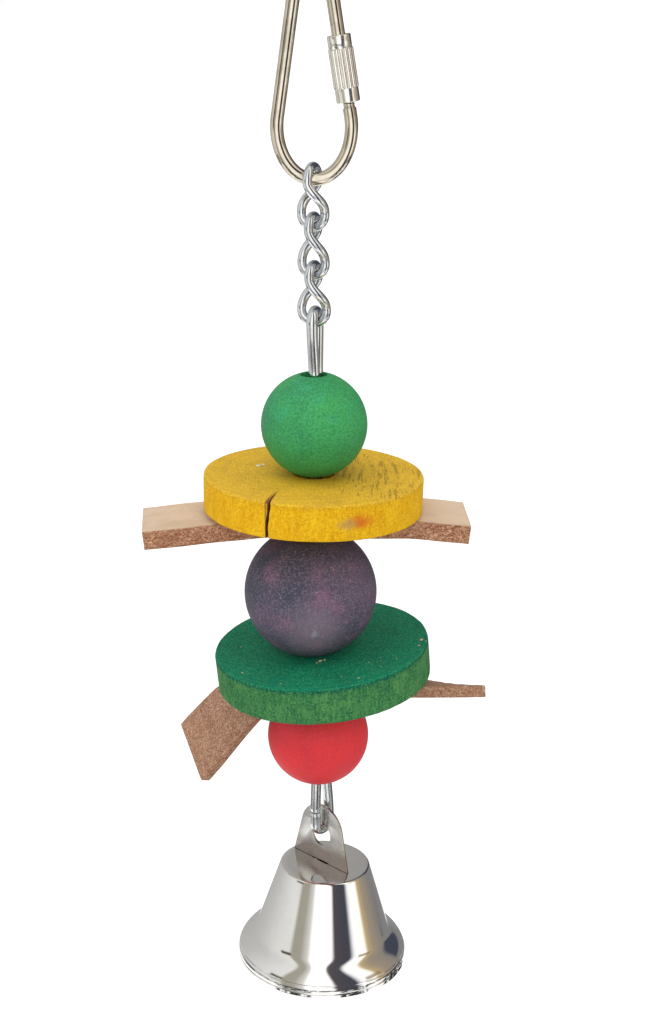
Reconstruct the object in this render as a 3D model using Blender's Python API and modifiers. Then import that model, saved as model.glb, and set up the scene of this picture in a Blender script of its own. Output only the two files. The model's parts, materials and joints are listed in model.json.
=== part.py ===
"""Hanging wooden bird toy: quick link, three twisted chain links, a hairpin wire threaded through
three balls, two slices of wood and two leather straps, and a bell with its clapper.

Lengths are in metres and +Z is up. The origin is the inside top of the quick link, where the toy
hangs. The quick link lies in the XZ plane and -Y faces the viewer.
"""
import math

import bmesh
import bpy
import numpy as np
from mathutils import Matrix, Vector

# Running gap between touching pieces
GAP = 0.0003
SEAT_GAP = 0.00025

# Quick link, measured on the centre line of its rod
LINK_ROD = 0.0029
LINK_INSIDE_LENGTH = 0.0418
LINK_TOP_RADIUS = 0.0036
LINK_HALF_WIDTH = 0.0080
LINK_BOTTOM_HEIGHT = 0.0110
THREAD_DIAMETER = 0.0025
THREAD_ENGAGED = 0.0025
THREAD_SHOWING = 0.0012
THREAD_STEP = 0.0002
GATE_OPENING = 0.0060
NUT_LENGTH = 0.0140
NUT_BELOW_TOP = 0.0132
NUT_COLLAR_DIAMETER = 0.0051
NUT_GRIP_DIAMETER = 0.0055
NUT_UPPER_COLLAR = 0.0028
NUT_LOWER_COLLAR = 0.0029
NUT_CHAMFER = 0.0003
NUT_CLEARANCE = 0.00025
FLUTE_COUNT = 14
FLUTE_DIAMETER = 0.0009
FLUTE_OFFSET = 0.0002

# Chain, three links of the same wire, each twisted a quarter turn
CHAIN_COUNT = 3
CHAIN_WIRE = 0.00205
CHAIN_LENGTH = 0.0150
CHAIN_LOOP_CLEARANCE = 0.00055
CHAIN_TURN = math.radians(-22.0)
CHAIN_X = -0.0004

# Hanger wire, a closed hairpin
HANGER_WIRE = 0.0025
HANGER_LENGTH = 0.1306
STRAND_SPACING = 0.0028
EYE_SPACING = 0.0053
EYE_NECK = 0.0130
BEND_SPACING = 0.0048
BEND_NECK = 0.0185
BUTT_HEIGHT = 0.0066
EYE_TURN = math.radians(14.0)
BEND_TURN = math.radians(43.0)
EYE_X = -0.0002
BEND_X = 0.0004

# Wooden pieces: the bores pass both strands of the hanger with room to spare
SMALL_BEAD_DIAMETER = 0.0241
SMALL_BEAD_BORE = 0.0068
LARGE_BEAD_DIAMETER = 0.0306
SMALL_BEAD_RIM = 0.0042
LARGE_BEAD_BORE = 0.0100
LARGE_BEAD_RIM = 0.0063
DISC_DIAMETER = 0.0502
DISC_BORE = 0.0096
DISC_EDGE = 0.0004
YELLOW_DISC_THICKNESS = 0.0082
GREEN_DISC_THICKNESS = 0.0086
YELLOW_DISC_ROLL = math.radians(1.9)
GREEN_DISC_ROLL = math.radians(-4.5)
GREEN_DISC_TILT = math.radians(2.6)
LOWER_BEAD_SEAT = 0.0152

# Where the wire's middle passes each piece, and how far the piece sits off the wire
WIRE_AT_UPPER_BEAD = (-0.0001, -0.0001)
WIRE_AT_YELLOW_DISC = (-0.0007, -0.0011)
WIRE_AT_MIDDLE_BEAD = (-0.0011, -0.0020)
WIRE_AT_GREEN_DISC = (0.0001, -0.0008)
WIRE_AT_LOWER_BEAD = (0.0001, 0.0001)
UPPER_BEAD_PLAY = (-0.0005, 0.0002)
YELLOW_DISC_PLAY = (-0.0005, 0.0017)
MIDDLE_BEAD_PLAY = (-0.0007, -0.0008)
GREEN_DISC_PLAY = (0.0014, 0.0018)
LOWER_BEAD_PLAY = (-0.0005, 0.0003)

# Drying crack in the yellow disc
CRACK_ANGLE = math.radians(245.5)
CRACK_DEPTH = 0.0078
CRACK_WIDTH = 0.0007

# Leather straps
STRAP_BORE = 0.0096
UPPER_STRAP_WIDTH = 0.0186
UPPER_STRAP_BACK = 0.0008
UPPER_STRAP_THICKNESS = 0.0044
UPPER_STRAP_LEFT = 0.0393
UPPER_STRAP_RIGHT = 0.0358
UPPER_STRAP_YAW = math.radians(2.5)
UPPER_LEFT_SKEW = 0.04
UPPER_LEFT_DROOP = math.radians(7.0)
UPPER_LEFT_DROOP_FROM = 0.0080
UPPER_RIGHT_DROOP = math.radians(5.5)
UPPER_RIGHT_DROOP_FROM = 0.0200
DROOP_RUN = 0.0070
LOWER_STRAP_WIDTH = 0.0147
LOWER_STRAP_THICKNESS = 0.0027
LOWER_STRAP_LEFT = 0.0440
LOWER_STRAP_RIGHT = 0.0375
FOLD_LINE = math.radians(-52.7)
FOLD_FROM = 0.0082
FOLD_RADIUS = 0.0080
FOLD_ANGLE = math.radians(65.0)
TWIST_ANGLE = math.radians(26.0)
TWIST_FROM = 0.0085
LOWER_RIGHT_DROOP = math.radians(4.0)
LOWER_RIGHT_DROOP_FROM = 0.0040

# Bell and its tab
BELL_WALL = 0.0008
BELL_HEIGHT = 0.0254
CROWN_RADIUS = 0.0110
CROWN_CORNER = 0.0006
WAIST_RADIUS = 0.0166
WAIST_DROP = 0.0184
FLARE_START = math.radians(50.0)
MOUTH_RADIUS = 0.0207
LIP_HEIGHT = 0.0020
BELL_LEAN = math.radians(2.3)
BELL_OFFSET = 0.0013
TAB_THICKNESS = 0.0007
TAB_WIDTH = 0.0176
TAB_HEIGHT = 0.0150
TAB_TOP_RADIUS = 0.0066
TAB_CORNER_RISE = 0.0004
TAB_HOLE = 0.0060
TAB_HOLE_HEIGHT = 0.0072
TONGUE_WIDTH = 0.0044
TONGUE_HOLE = 0.0022
TONGUE_DROP = 0.0034
EAR_WIDTH = 0.0035
EAR_SPREAD = 0.0048

# Clapper
CLAPPER_WIRE = 0.0012
CLAPPER_EYE = 0.0032
CLAPPER_BALL = 0.0076
CLAPPER_BORE = 0.0018
CLAPPER_DROP = 0.0130
CLAPPER_HEAD = 0.0026
CLAPPER_HEAD_STEP = 0.0002
CLAPPER_EYE_OPENING = math.radians(125.0)

# Fineness of the mesh
TURNED_STEPS = 32
BEAD_RINGS = 15
STRAP_STEPS = 32
TUBE_SIDES = 8
HOLE_STEPS = 20
DISC_STEPS = 56
BELL_STEPS = 40
MERGE_DISTANCE = 0.000001
CUT_MARGIN = 0.0010


# Scene, materials and helpers
for old in list(bpy.data.objects):
    bpy.data.objects.remove(old, do_unlink=True)

TOY = bpy.data.collections.new("hanging_bird_toy")
CUTTERS = bpy.data.collections.new("cutters")
for collection in (TOY, CUTTERS):
    bpy.context.scene.collection.children.link(collection)


def material(name, colour, roughness, metallic=0.0):
    """A Principled material of one colour."""
    made = bpy.data.materials.new(name)
    made.use_nodes = True
    shader = made.node_tree.nodes["Principled BSDF"]
    shader.inputs["Base Color"].default_value = (*colour, 1.0)
    shader.inputs["Roughness"].default_value = roughness
    shader.inputs["Metallic"].default_value = metallic
    made.diffuse_color = (*colour, 1.0)
    return made


NICKEL = (0.62, 0.59, 0.54)
ZINC = (0.55, 0.58, 0.62)


def add_mesh(name, mesh, finish, matrix=None, collection=TOY):
    """Link a mesh as an object, shaded smooth up to 35 degrees."""
    made = bpy.data.objects.new(name, mesh)
    if matrix is not None:
        made.matrix_world = matrix
    collection.objects.link(made)
    mesh.shade_smooth()
    mesh.set_sharp_from_angle(angle=math.radians(35.0))
    if finish is not None:
        mesh.materials.append(finish)
    return made


def add_cutter(name, mesh, matrix=None):
    """Link a mesh that only cuts others."""
    made = bpy.data.objects.new(name, mesh)
    if matrix is not None:
        made.matrix_world = matrix
    CUTTERS.objects.link(made)
    made.hide_render = True
    made.display_type = "WIRE"
    return made


def add_empty(name, matrix):
    """Link an empty on a joint's axis, to carry the pieces that turn about it."""
    made = bpy.data.objects.new(name, None)
    made.matrix_world = matrix
    TOY.objects.link(made)
    return made


def cut(target, cutter, operation="DIFFERENCE"):
    """Add a live exact Boolean."""
    modifier = target.modifiers.new(cutter.name, "BOOLEAN")
    modifier.operation = operation
    modifier.solver = "EXACT"
    modifier.object = cutter


def mesh_from_bmesh(name, shape):
    mesh = bpy.data.meshes.new(name)
    shape.to_mesh(mesh)
    shape.free()
    return mesh


def cylinder_mesh(name, diameter, length, sides=32):
    shape = bmesh.new()
    bmesh.ops.create_cone(shape, cap_ends=True, segments=sides, radius1=diameter / 2,
                          radius2=diameter / 2, depth=length)
    return mesh_from_bmesh(name, shape)


def box_mesh(name, size):
    shape = bmesh.new()
    bmesh.ops.create_cube(shape, size=1.0)
    bmesh.ops.scale(shape, vec=Vector(size), verts=shape.verts)
    return mesh_from_bmesh(name, shape)


def turned(name, profile, finish, matrix, steps=TURNED_STEPS, closed=True):
    """Revolve a profile of (radius, height) pairs about Z with a Screw modifier."""
    mesh = bpy.data.meshes.new(name)
    count = len(profile)
    edges = [(i, i + 1) for i in range(count - 1)]
    if closed:
        edges.append((count - 1, 0))
    mesh.from_pydata([(r, 0.0, z) for r, z in profile], edges, [])
    made = add_mesh(name, mesh, finish, matrix)
    screw = made.modifiers.new("turn", "SCREW")
    screw.steps = steps
    screw.render_steps = steps
    screw.use_merge_vertices = True
    screw.merge_threshold = 0.00001
    screw.use_smooth_shade = True
    return made


def curve_mesh(name, curve):
    """A curve's surface as a mesh, with doubled points merged and the faces turned outwards."""
    guide = bpy.data.objects.new(name + "_guide", curve)
    TOY.objects.link(guide)
    bpy.context.view_layer.update()
    evaluated = guide.evaluated_get(bpy.context.evaluated_depsgraph_get())
    mesh = bpy.data.meshes.new_from_object(evaluated)
    bpy.data.objects.remove(guide, do_unlink=True)
    shape = bmesh.new()
    shape.from_mesh(mesh)
    bmesh.ops.remove_doubles(shape, verts=shape.verts, dist=MERGE_DISTANCE)
    bmesh.ops.recalc_face_normals(shape, faces=shape.faces)
    shape.to_mesh(mesh)
    shape.free()
    mesh.name = name
    mesh.materials.clear()
    return mesh


def tube(name, points, diameter, finish, matrix, widths=None, closed=False):
    """A round wire along points given in the frame of matrix, a ring or closed at both ends."""
    curve = bpy.data.curves.new(name, "CURVE")
    curve.dimensions = "3D"
    curve.bevel_depth = diameter / 2
    curve.bevel_resolution = TUBE_SIDES // 2 - 2
    curve.use_fill_caps = not closed
    spline = curve.splines.new("POLY")
    spline.points.add(len(points) - 1)
    for index, point in enumerate(points):
        spline.points[index].co = (*point, 1.0)
        spline.points[index].radius = 1.0 if widths is None else widths[index] / diameter
    spline.use_cyclic_u = closed
    return add_mesh(name, curve_mesh(name, curve), finish, matrix)


def plate(name, outline, holes, thickness, finish, matrix):
    """A flat outline with round holes, extruded to a thickness. The outline lies in XY."""
    curve = bpy.data.curves.new(name, "CURVE")
    curve.dimensions = "2D"
    curve.fill_mode = "BOTH"
    curve.extrude = thickness / 2
    for loop in [outline] + [circle_points(centre, radius, HOLE_STEPS) for centre, radius in holes]:
        spline = curve.splines.new("POLY")
        spline.points.add(len(loop) - 1)
        for index, (x, y) in enumerate(loop):
            spline.points[index].co = (x, y, 0.0, 1.0)
        spline.use_cyclic_u = True
    return add_mesh(name, curve_mesh(name, curve), finish, matrix)


def circle_points(centre, radius, count):
    angles = np.linspace(0.0, 2 * math.pi, count, endpoint=False)
    return [(centre[0] + radius * math.cos(a), centre[1] + radius * math.sin(a)) for a in angles]


def smooth(x):
    """Smooth step from 0 at x = 0 to 1 at x = 1."""
    x = np.clip(x, 0.0, 1.0)
    return x * x * (3.0 - 2.0 * x)


def frame_matrix(origin, normal, along=(1.0, 0.0, 0.0)):
    """A matrix with +Z on normal and +X as near to along as it can be."""
    z = Vector(normal).normalized()
    y = z.cross(Vector(along)).normalized()
    x = y.cross(z)
    turn = Matrix((x, y, z)).transposed().to_4x4()
    return Matrix.Translation(Vector(origin)) @ turn


# Quick link
LINK_TOP_Z = LINK_ROD / 2 - LINK_TOP_RADIUS
LINK_BOTTOM_LINE = -LINK_INSIDE_LENGTH - LINK_ROD / 2
LINK_ELLIPSE_Z = LINK_BOTTOM_LINE + LINK_BOTTOM_HEIGHT


def leg_lean():
    """Lean of the straight legs: the common tangent of the top arc and the bottom half ellipse.

    A line whose normal leans by a touches the circle where r + zt sin a, and the ellipse where
    sqrt(A^2 cos^2 a + B^2 sin^2 a) + zc sin a, which is a quadratic in sin a.
    """
    rise = LINK_TOP_Z - LINK_ELLIPSE_Z
    square = LINK_BOTTOM_HEIGHT ** 2 - LINK_HALF_WIDTH ** 2 - rise ** 2
    linear = -2.0 * LINK_TOP_RADIUS * rise
    constant = LINK_HALF_WIDTH ** 2 - LINK_TOP_RADIUS ** 2
    root = math.sqrt(linear ** 2 - 4.0 * square * constant)
    return math.asin((-linear - root) / (2.0 * square))


LEG_LEAN = leg_lean()
LEG_UP = Vector((-math.sin(LEG_LEAN), 0.0, math.cos(LEG_LEAN)))
LEG_TOP = Vector((LINK_TOP_RADIUS * math.cos(LEG_LEAN), 0.0,
                  LINK_TOP_Z + LINK_TOP_RADIUS * math.sin(LEG_LEAN)))
ELLIPSE_ANGLE = math.atan2(LINK_BOTTOM_HEIGHT * math.sin(LEG_LEAN),
                           LINK_HALF_WIDTH * math.cos(LEG_LEAN))
LEG_FOOT = Vector((LINK_HALF_WIDTH * math.cos(ELLIPSE_ANGLE), 0.0,
                   LINK_ELLIPSE_Z + LINK_BOTTOM_HEIGHT * math.sin(ELLIPSE_ANGLE)))


def on_leg(z):
    """Point of the right leg's centre line at height z."""
    return LEG_TOP + LEG_UP * ((z - LEG_TOP.z) / LEG_UP.z)


NUT_TOP = on_leg(-NUT_BELOW_TOP)
NUT_BOTTOM = NUT_TOP - LEG_UP * NUT_LENGTH
GATE_LOWER = NUT_BOTTOM + LEG_UP * THREAD_ENGAGED
GATE_UPPER = GATE_LOWER + LEG_UP * GATE_OPENING


def quick_link_body():
    """One rod from the lower end of the gate round the bottom and the top to the upper end."""
    shoulder = NUT_BOTTOM - LEG_UP * THREAD_SHOWING
    upper_shoulder = NUT_TOP - LEG_UP * NUT_UPPER_COLLAR
    step = LEG_UP * THREAD_STEP
    bottom = [Vector((LINK_HALF_WIDTH * math.cos(a), 0.0,
                      LINK_ELLIPSE_Z + LINK_BOTTOM_HEIGHT * math.sin(a)))
              for a in np.linspace(ELLIPSE_ANGLE, -math.pi - ELLIPSE_ANGLE, 29)]
    top = [Vector((-LINK_TOP_RADIUS * math.cos(a), 0.0, LINK_TOP_Z + LINK_TOP_RADIUS * math.sin(a)))
           for a in np.linspace(LEG_LEAN, math.pi - LEG_LEAN, 17)]
    points = [GATE_LOWER, shoulder + step, shoulder, *bottom, *top,
              upper_shoulder, upper_shoulder - step, GATE_UPPER]
    widths = [LINK_ROD] * len(points)
    for index in (0, 1, -2, -1):
        widths[index] = THREAD_DIAMETER
    return tube("quick_link_body", points, LINK_ROD, material("quick_link_nickel", NICKEL, 0.18, 1.0),
                Matrix.Identity(4), widths)


def quick_link_nut():
    """A turned sleeve with a fluted grip between two smooth collars."""
    bore = LINK_ROD / 2 + NUT_CLEARANCE
    collar = NUT_COLLAR_DIAMETER / 2
    grip = NUT_GRIP_DIAMETER / 2
    upper = NUT_LENGTH - NUT_UPPER_COLLAR
    profile = [
        (bore, NUT_LENGTH), (collar - NUT_CHAMFER, NUT_LENGTH), (collar, NUT_LENGTH - NUT_CHAMFER),
        (collar, upper), (grip - NUT_CHAMFER / 2, upper), (grip, upper - NUT_CHAMFER),
        (grip, NUT_LOWER_COLLAR + NUT_CHAMFER), (grip - NUT_CHAMFER / 2, NUT_LOWER_COLLAR),
        (collar, NUT_LOWER_COLLAR), (collar, NUT_CHAMFER), (collar - NUT_CHAMFER, 0.0), (bore, 0.0)]
    matrix = frame_matrix(NUT_BOTTOM, LEG_UP)
    nut = turned("quick_link_nut", profile, material("nut_nickel", NICKEL, 0.25, 1.0), matrix, 28)
    flutes = bmesh.new()
    length = upper - NUT_LOWER_COLLAR - 2 * NUT_CHAMFER
    middle = (upper + NUT_LOWER_COLLAR) / 2
    for index in range(FLUTE_COUNT):
        angle = 2 * math.pi * (index + 0.5) / FLUTE_COUNT
        place = Matrix.Rotation(angle, 4, "Z") @ Matrix.Translation((grip + FLUTE_OFFSET, 0.0, middle))
        bmesh.ops.create_cone(flutes, cap_ends=True, segments=6, radius1=FLUTE_DIAMETER / 2,
                              radius2=FLUTE_DIAMETER / 2, depth=length, matrix=place)
    cut(nut, add_cutter("nut_flutes", mesh_from_bmesh("nut_flutes", flutes), matrix))
    return nut


# Chain
CHAIN_PITCH = CHAIN_LENGTH - 2 * CHAIN_WIRE - GAP
CHAIN_TOP = -LINK_INSIDE_LENGTH + GAP + CHAIN_WIRE
CHAIN_PIVOTS = (
    Vector((CHAIN_X, 0.0, LINK_BOTTOM_LINE)),
    Vector((CHAIN_X, 0.0, CHAIN_TOP - CHAIN_PITCH - CHAIN_WIRE / 2)),
    Vector((CHAIN_X, 0.0, CHAIN_TOP - CHAIN_PITCH - CHAIN_LENGTH + CHAIN_WIRE / 2)))


def chain_link(name, top, wire_above, wire_below, pivot):
    """A link of round ended shape whose plane turns a quarter turn from its top to its bottom.

    The chain hangs turned by CHAIN_TURN from loops in the YZ plane above and the XZ plane below.
    Each loop is as wide as the wire that passes it, with the loop clearance on both sides.
    """
    half_height = (CHAIN_LENGTH - CHAIN_WIRE) / 2
    top_radius = (wire_above + CHAIN_WIRE) / 2 + CHAIN_LOOP_CLEARANCE
    bottom_radius = (wire_below + CHAIN_WIRE) / 2 + CHAIN_LOOP_CLEARANCE
    low = bottom_radius - half_height
    high = half_height - top_radius
    part_way = np.linspace(0.0, 1.0, 9)[1:-1]
    side = low + (high - low) * part_way
    width = bottom_radius + (top_radius - bottom_radius) * part_way
    arc = np.linspace(-math.pi / 2, math.pi / 2, 11)
    across = np.concatenate([bottom_radius * np.sin(arc), width,
                             top_radius * np.sin(arc[::-1]), -width[::-1]])
    height = np.concatenate([low - bottom_radius * np.cos(arc), side,
                             high + top_radius * np.cos(arc), side[::-1]])
    turn = CHAIN_TURN - math.pi / 2 * smooth((height - low) / (high - low))
    centre = Vector((CHAIN_X, 0.0, top - CHAIN_LENGTH / 2))
    points = [centre - pivot + Vector((a * math.cos(t), a * math.sin(t), z))
              for a, t, z in zip(across, turn, height)]
    return tube(name, points, CHAIN_WIRE, material(name + "_zinc", ZINC, 0.3, 1.0),
                Matrix.Translation(pivot), closed=True)


def chain():
    """Three links: the first swings on the quick link, the second on its own top wire and the
    third on the second's bottom wire."""
    tops = [CHAIN_TOP - number * CHAIN_PITCH for number in range(CHAIN_COUNT)]
    chain_link("chain_link_1", tops[0], LINK_ROD, CHAIN_WIRE, CHAIN_PIVOTS[0])
    chain_link("chain_link_2", tops[1], CHAIN_WIRE, CHAIN_WIRE, CHAIN_PIVOTS[1])
    chain_link("chain_link_3", tops[2], CHAIN_WIRE, HANGER_WIRE, CHAIN_PIVOTS[2])


# Stack of wooden pieces, worked out upwards from the bend that carries the lowest bead
EYE_TOP = CHAIN_TOP - (CHAIN_COUNT - 1) * CHAIN_PITCH - CHAIN_LENGTH + CHAIN_WIRE + GAP + HANGER_WIRE
BEND_BOTTOM = EYE_TOP - HANGER_LENGTH
YELLOW_NORMAL = Vector((math.sin(YELLOW_DISC_ROLL), 0.0, math.cos(YELLOW_DISC_ROLL)))
GREEN_NORMAL = Vector((math.sin(GREEN_DISC_ROLL), -math.sin(GREEN_DISC_TILT), 1.0)).normalized()
UPRIGHT = Vector((0.0, 0.0, 1.0))
MIDDLE_BEAD_AXIS = (YELLOW_NORMAL + GREEN_NORMAL).normalized()


def half_height(diameter, rim):
    """Half height of a bead whose poles are cut flat to a rim of the given radius."""
    return math.sqrt((diameter / 2) ** 2 - rim ** 2)


def seat(diameter, rim, axis, normal):
    """Distance from a bead's centre to a face that leans against the rim of its flat pole."""
    tilt = normal.angle(axis)
    return half_height(diameter, rim) * math.cos(tilt) + rim * math.sin(tilt)


def height_at(point, normal, x, y, distance):
    """Height at which (x, y) lies the given distance above the plane through point."""
    return point.z + (distance - normal.x * (x - point.x) - normal.y * (y - point.y)) / normal.z


def offset(wire, play):
    return wire[0] + play[0], wire[1] + play[1]


def stack():
    """Centres of the beads and of the discs' and straps' undersides."""
    place = {}
    x, y = offset(WIRE_AT_LOWER_BEAD, LOWER_BEAD_PLAY)
    low = BEND_BOTTOM + LOWER_BEAD_SEAT
    place["lower_bead"] = Vector((x, y, low + half_height(SMALL_BEAD_DIAMETER, SMALL_BEAD_RIM)))
    rise = seat(SMALL_BEAD_DIAMETER, SMALL_BEAD_RIM, UPRIGHT, GREEN_NORMAL) + SEAT_GAP
    face = place["lower_bead"] + GREEN_NORMAL * rise
    x, y = offset(WIRE_AT_GREEN_DISC, GREEN_DISC_PLAY)
    place["lower_strap"] = Vector((x, y, height_at(face, GREEN_NORMAL, x, y, 0.0)))
    place["green_disc"] = place["lower_strap"] + GREEN_NORMAL * (LOWER_STRAP_THICKNESS + SEAT_GAP)
    face = place["green_disc"] + GREEN_NORMAL * GREEN_DISC_THICKNESS
    x, y = offset(WIRE_AT_MIDDLE_BEAD, MIDDLE_BEAD_PLAY)
    rise = seat(LARGE_BEAD_DIAMETER, LARGE_BEAD_RIM, MIDDLE_BEAD_AXIS, GREEN_NORMAL) + SEAT_GAP
    place["middle_bead"] = Vector((x, y, height_at(face, GREEN_NORMAL, x, y, rise)))
    rise = seat(LARGE_BEAD_DIAMETER, LARGE_BEAD_RIM, MIDDLE_BEAD_AXIS, YELLOW_NORMAL) + SEAT_GAP
    face = place["middle_bead"] + YELLOW_NORMAL * rise
    x, y = offset(WIRE_AT_YELLOW_DISC, YELLOW_DISC_PLAY)
    place["upper_strap"] = Vector((x, y, height_at(face, YELLOW_NORMAL, x, y, 0.0)))
    place["yellow_disc"] = place["upper_strap"] + YELLOW_NORMAL * (UPPER_STRAP_THICKNESS + SEAT_GAP)
    face = place["yellow_disc"] + YELLOW_NORMAL * YELLOW_DISC_THICKNESS
    x, y = offset(WIRE_AT_UPPER_BEAD, UPPER_BEAD_PLAY)
    rise = seat(SMALL_BEAD_DIAMETER, SMALL_BEAD_RIM, UPRIGHT, YELLOW_NORMAL) + SEAT_GAP
    place["upper_bead"] = Vector((x, y, height_at(face, YELLOW_NORMAL, x, y, rise)))
    return place


PLACE = stack()


# Hanger wire
EYE_CENTRE = EYE_TOP - HANGER_WIRE / 2 - EYE_SPACING / 2
BEND_CENTRE = BEND_BOTTOM + HANGER_WIRE / 2 + BEND_SPACING / 2
HANGER_PIVOT = Vector((EYE_X, 0.0, EYE_TOP - HANGER_WIRE / 2))


def wire_middle(z):
    """Middle of the two strands at height z: a smooth line through its place in each piece."""
    stations = [
        (BEND_BOTTOM, BEND_X, 0.0), (BEND_CENTRE, BEND_X, 0.0),
        (PLACE["lower_bead"].z, *WIRE_AT_LOWER_BEAD), (PLACE["green_disc"].z, *WIRE_AT_GREEN_DISC),
        (PLACE["middle_bead"].z, *WIRE_AT_MIDDLE_BEAD), (PLACE["yellow_disc"].z, *WIRE_AT_YELLOW_DISC),
        (PLACE["upper_bead"].z, *WIRE_AT_UPPER_BEAD), (EYE_CENTRE, EYE_X, 0.0), (EYE_TOP, EYE_X, 0.0)]
    table = np.array(stations)
    slope = np.gradient(table[:, 1:], table[:, 0], axis=0)
    index = int(np.clip(np.searchsorted(table[:, 0], z) - 1, 0, len(table) - 2))
    span = table[index + 1, 0] - table[index, 0]
    t = float(np.clip((z - table[index, 0]) / span, 0.0, 1.0))
    start, end = table[index, 1:], table[index + 1, 1:]
    hermite = (start * (1 + 2 * t) * (1 - t) ** 2 + end * t * t * (3 - 2 * t)
               + slope[index] * span * t * (1 - t) ** 2 - slope[index + 1] * span * t * t * (1 - t))
    return Vector((hermite[0], hermite[1], z))


def pair_direction(z):
    """Level direction from the front strand to the back one, which turns down the wire."""
    turn = EYE_TURN + (BEND_TURN - EYE_TURN) * float(smooth((EYE_CENTRE - z) / (EYE_CENTRE - BEND_CENTRE)))
    return Vector((math.sin(turn), math.cos(turn), 0.0))


def half_spacing(z):
    """Half the distance between the strands: wide at eye and bend, close in the bores."""
    eye = float(smooth((z - EYE_CENTRE + EYE_NECK) / EYE_NECK))
    bend = float(smooth((BEND_CENTRE + BEND_NECK - z) / BEND_NECK))
    return (STRAND_SPACING + (EYE_SPACING - STRAND_SPACING) * eye
            + (BEND_SPACING - STRAND_SPACING) * bend) / 2


def strand(z, side):
    return wire_middle(z) + pair_direction(z) * (side * half_spacing(z))


def wire_hanger():
    """From just under the butt joint on the front strand, round the bend, up the back strand,
    over the eye and down the front strand to just above the joint."""
    butt = BEND_BOTTOM + BUTT_HEIGHT
    bend = [wire_middle(BEND_CENTRE) + pair_direction(BEND_CENTRE) * (-BEND_SPACING / 2 * math.cos(a))
            - UPRIGHT * (BEND_SPACING / 2 * math.sin(a)) for a in np.linspace(0.0, math.pi, 11)]
    eye = [wire_middle(EYE_CENTRE) + pair_direction(EYE_CENTRE) * (EYE_SPACING / 2 * math.cos(a))
           + UPRIGHT * (EYE_SPACING / 2 * math.sin(a)) for a in np.linspace(0.0, math.pi, 11)]
    levels = strand_levels()
    up = [strand(z, 1.0) for z in levels]
    down = [strand(z, -1.0) for z in levels[::-1] if z > butt + GAP]
    points = [strand(butt, -1.0), *bend, *up, *eye, *down, strand(butt + GAP, -1.0)]
    return tube("wire_hanger", [point - HANGER_PIVOT for point in points], HANGER_WIRE,
                material("hanger_zinc", ZINC, 0.3, 1.0), Matrix.Translation(HANGER_PIVOT))


def strand_levels():
    """Heights between bend and eye, closer together where the strands spread."""
    low = np.linspace(BEND_CENTRE, BEND_CENTRE + BEND_NECK, 10)[1:]
    high = np.linspace(EYE_CENTRE - EYE_NECK, EYE_CENTRE, 8)[:-1]
    middle = np.linspace(low[-1], high[0], 20)[1:-1]
    return [float(z) for z in (*low, *middle, *high)]


# Beads and discs
def bead(name, diameter, bore, rim, axis, finish):
    """A turned ball with flat poles, bored through."""
    height = half_height(diameter, rim)
    edge = math.acos(height / (diameter / 2))
    arc = np.linspace(edge, math.pi - edge, BEAD_RINGS)
    outer = [(diameter / 2 * math.sin(a), diameter / 2 * math.cos(a)) for a in arc]
    profile = [(bore / 2, height), *outer, (bore / 2, -height)]
    return turned(name, profile, finish, frame_matrix(PLACE[name], axis))


def disc(name, thickness, normal, finish):
    """A slice of round wood with eased edges, bored through. Its origin is on its underside."""
    radius = DISC_DIAMETER / 2
    inner = DISC_BORE / 2
    profile = [(inner, thickness), (radius - DISC_EDGE, thickness), (radius, thickness - DISC_EDGE),
               (radius, DISC_EDGE), (radius - DISC_EDGE, 0.0), (inner, 0.0)]
    return turned(name, profile, finish, frame_matrix(PLACE[name], normal), DISC_STEPS)


def crack(target):
    """A wedge shaped drying crack, open at the rim and closing towards the middle."""
    shape = bmesh.new()
    rim = DISC_DIAMETER / 2 + CUT_MARGIN
    tip = DISC_DIAMETER / 2 - CRACK_DEPTH
    corners = [(tip, 0.0), (rim, -CRACK_WIDTH / 2), (rim, CRACK_WIDTH / 2)]
    face = shape.faces.new([shape.verts.new((x, y, -CUT_MARGIN)) for x, y in corners])
    grown = bmesh.ops.extrude_face_region(shape, geom=[face])
    moved = [item for item in grown["geom"] if isinstance(item, bmesh.types.BMVert)]
    bmesh.ops.translate(shape, verts=moved, vec=(0.0, 0.0, YELLOW_DISC_THICKNESS + 2 * CUT_MARGIN))
    bmesh.ops.recalc_face_normals(shape, faces=shape.faces)
    turn = target.matrix_world @ Matrix.Rotation(CRACK_ANGLE, 4, "Z")
    cut(target, add_cutter("crack", mesh_from_bmesh("crack", shape), turn))


# Leather straps
def strap(name, left, right, skew, width, thickness, bend, finish, matrix):
    """A flat strap bent by a rule: a grid whose points the rule moves, thickened downwards.

    The grid is the strap's upper face, at the height of its thickness above the origin. Its left
    end is cut askew, longer at the far edge by skew times the distance across.
    """
    shape = bmesh.new()
    bmesh.ops.create_grid(shape, x_segments=STRAP_STEPS, y_segments=4, size=0.5)
    for vertex in shape.verts:
        across = width * vertex.co.y
        start = -left - skew * across
        along = start + (right - start) * (vertex.co.x + 0.5)
        vertex.co = Vector(bend(along, across)) + Vector((0.0, 0.0, thickness))
    made = add_mesh(name, mesh_from_bmesh(name, shape), finish, matrix)
    solid = made.modifiers.new("thickness", "SOLIDIFY")
    solid.thickness = thickness
    solid.offset = -1.0
    solid.use_even_offset = True
    bore = add_cutter(name + "_bore", cylinder_mesh(name + "_bore", STRAP_BORE, 4 * thickness, 24),
                      matrix @ Matrix.Translation((0.0, 0.0, thickness / 2)))
    cut(made, bore)
    return made


def drooped(distance, angle, start):
    """Run and drop of a strap that bends down by angle over a short arc from start on."""
    radius = DROOP_RUN / angle
    turned_by = min(max(distance - start, 0.0) / radius, angle)
    rest = max(distance - start - DROOP_RUN, 0.0)
    run = min(distance, start) + radius * math.sin(turned_by) + rest * math.cos(angle)
    return run, radius * (1.0 - math.cos(turned_by)) + rest * math.sin(angle)


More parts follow.
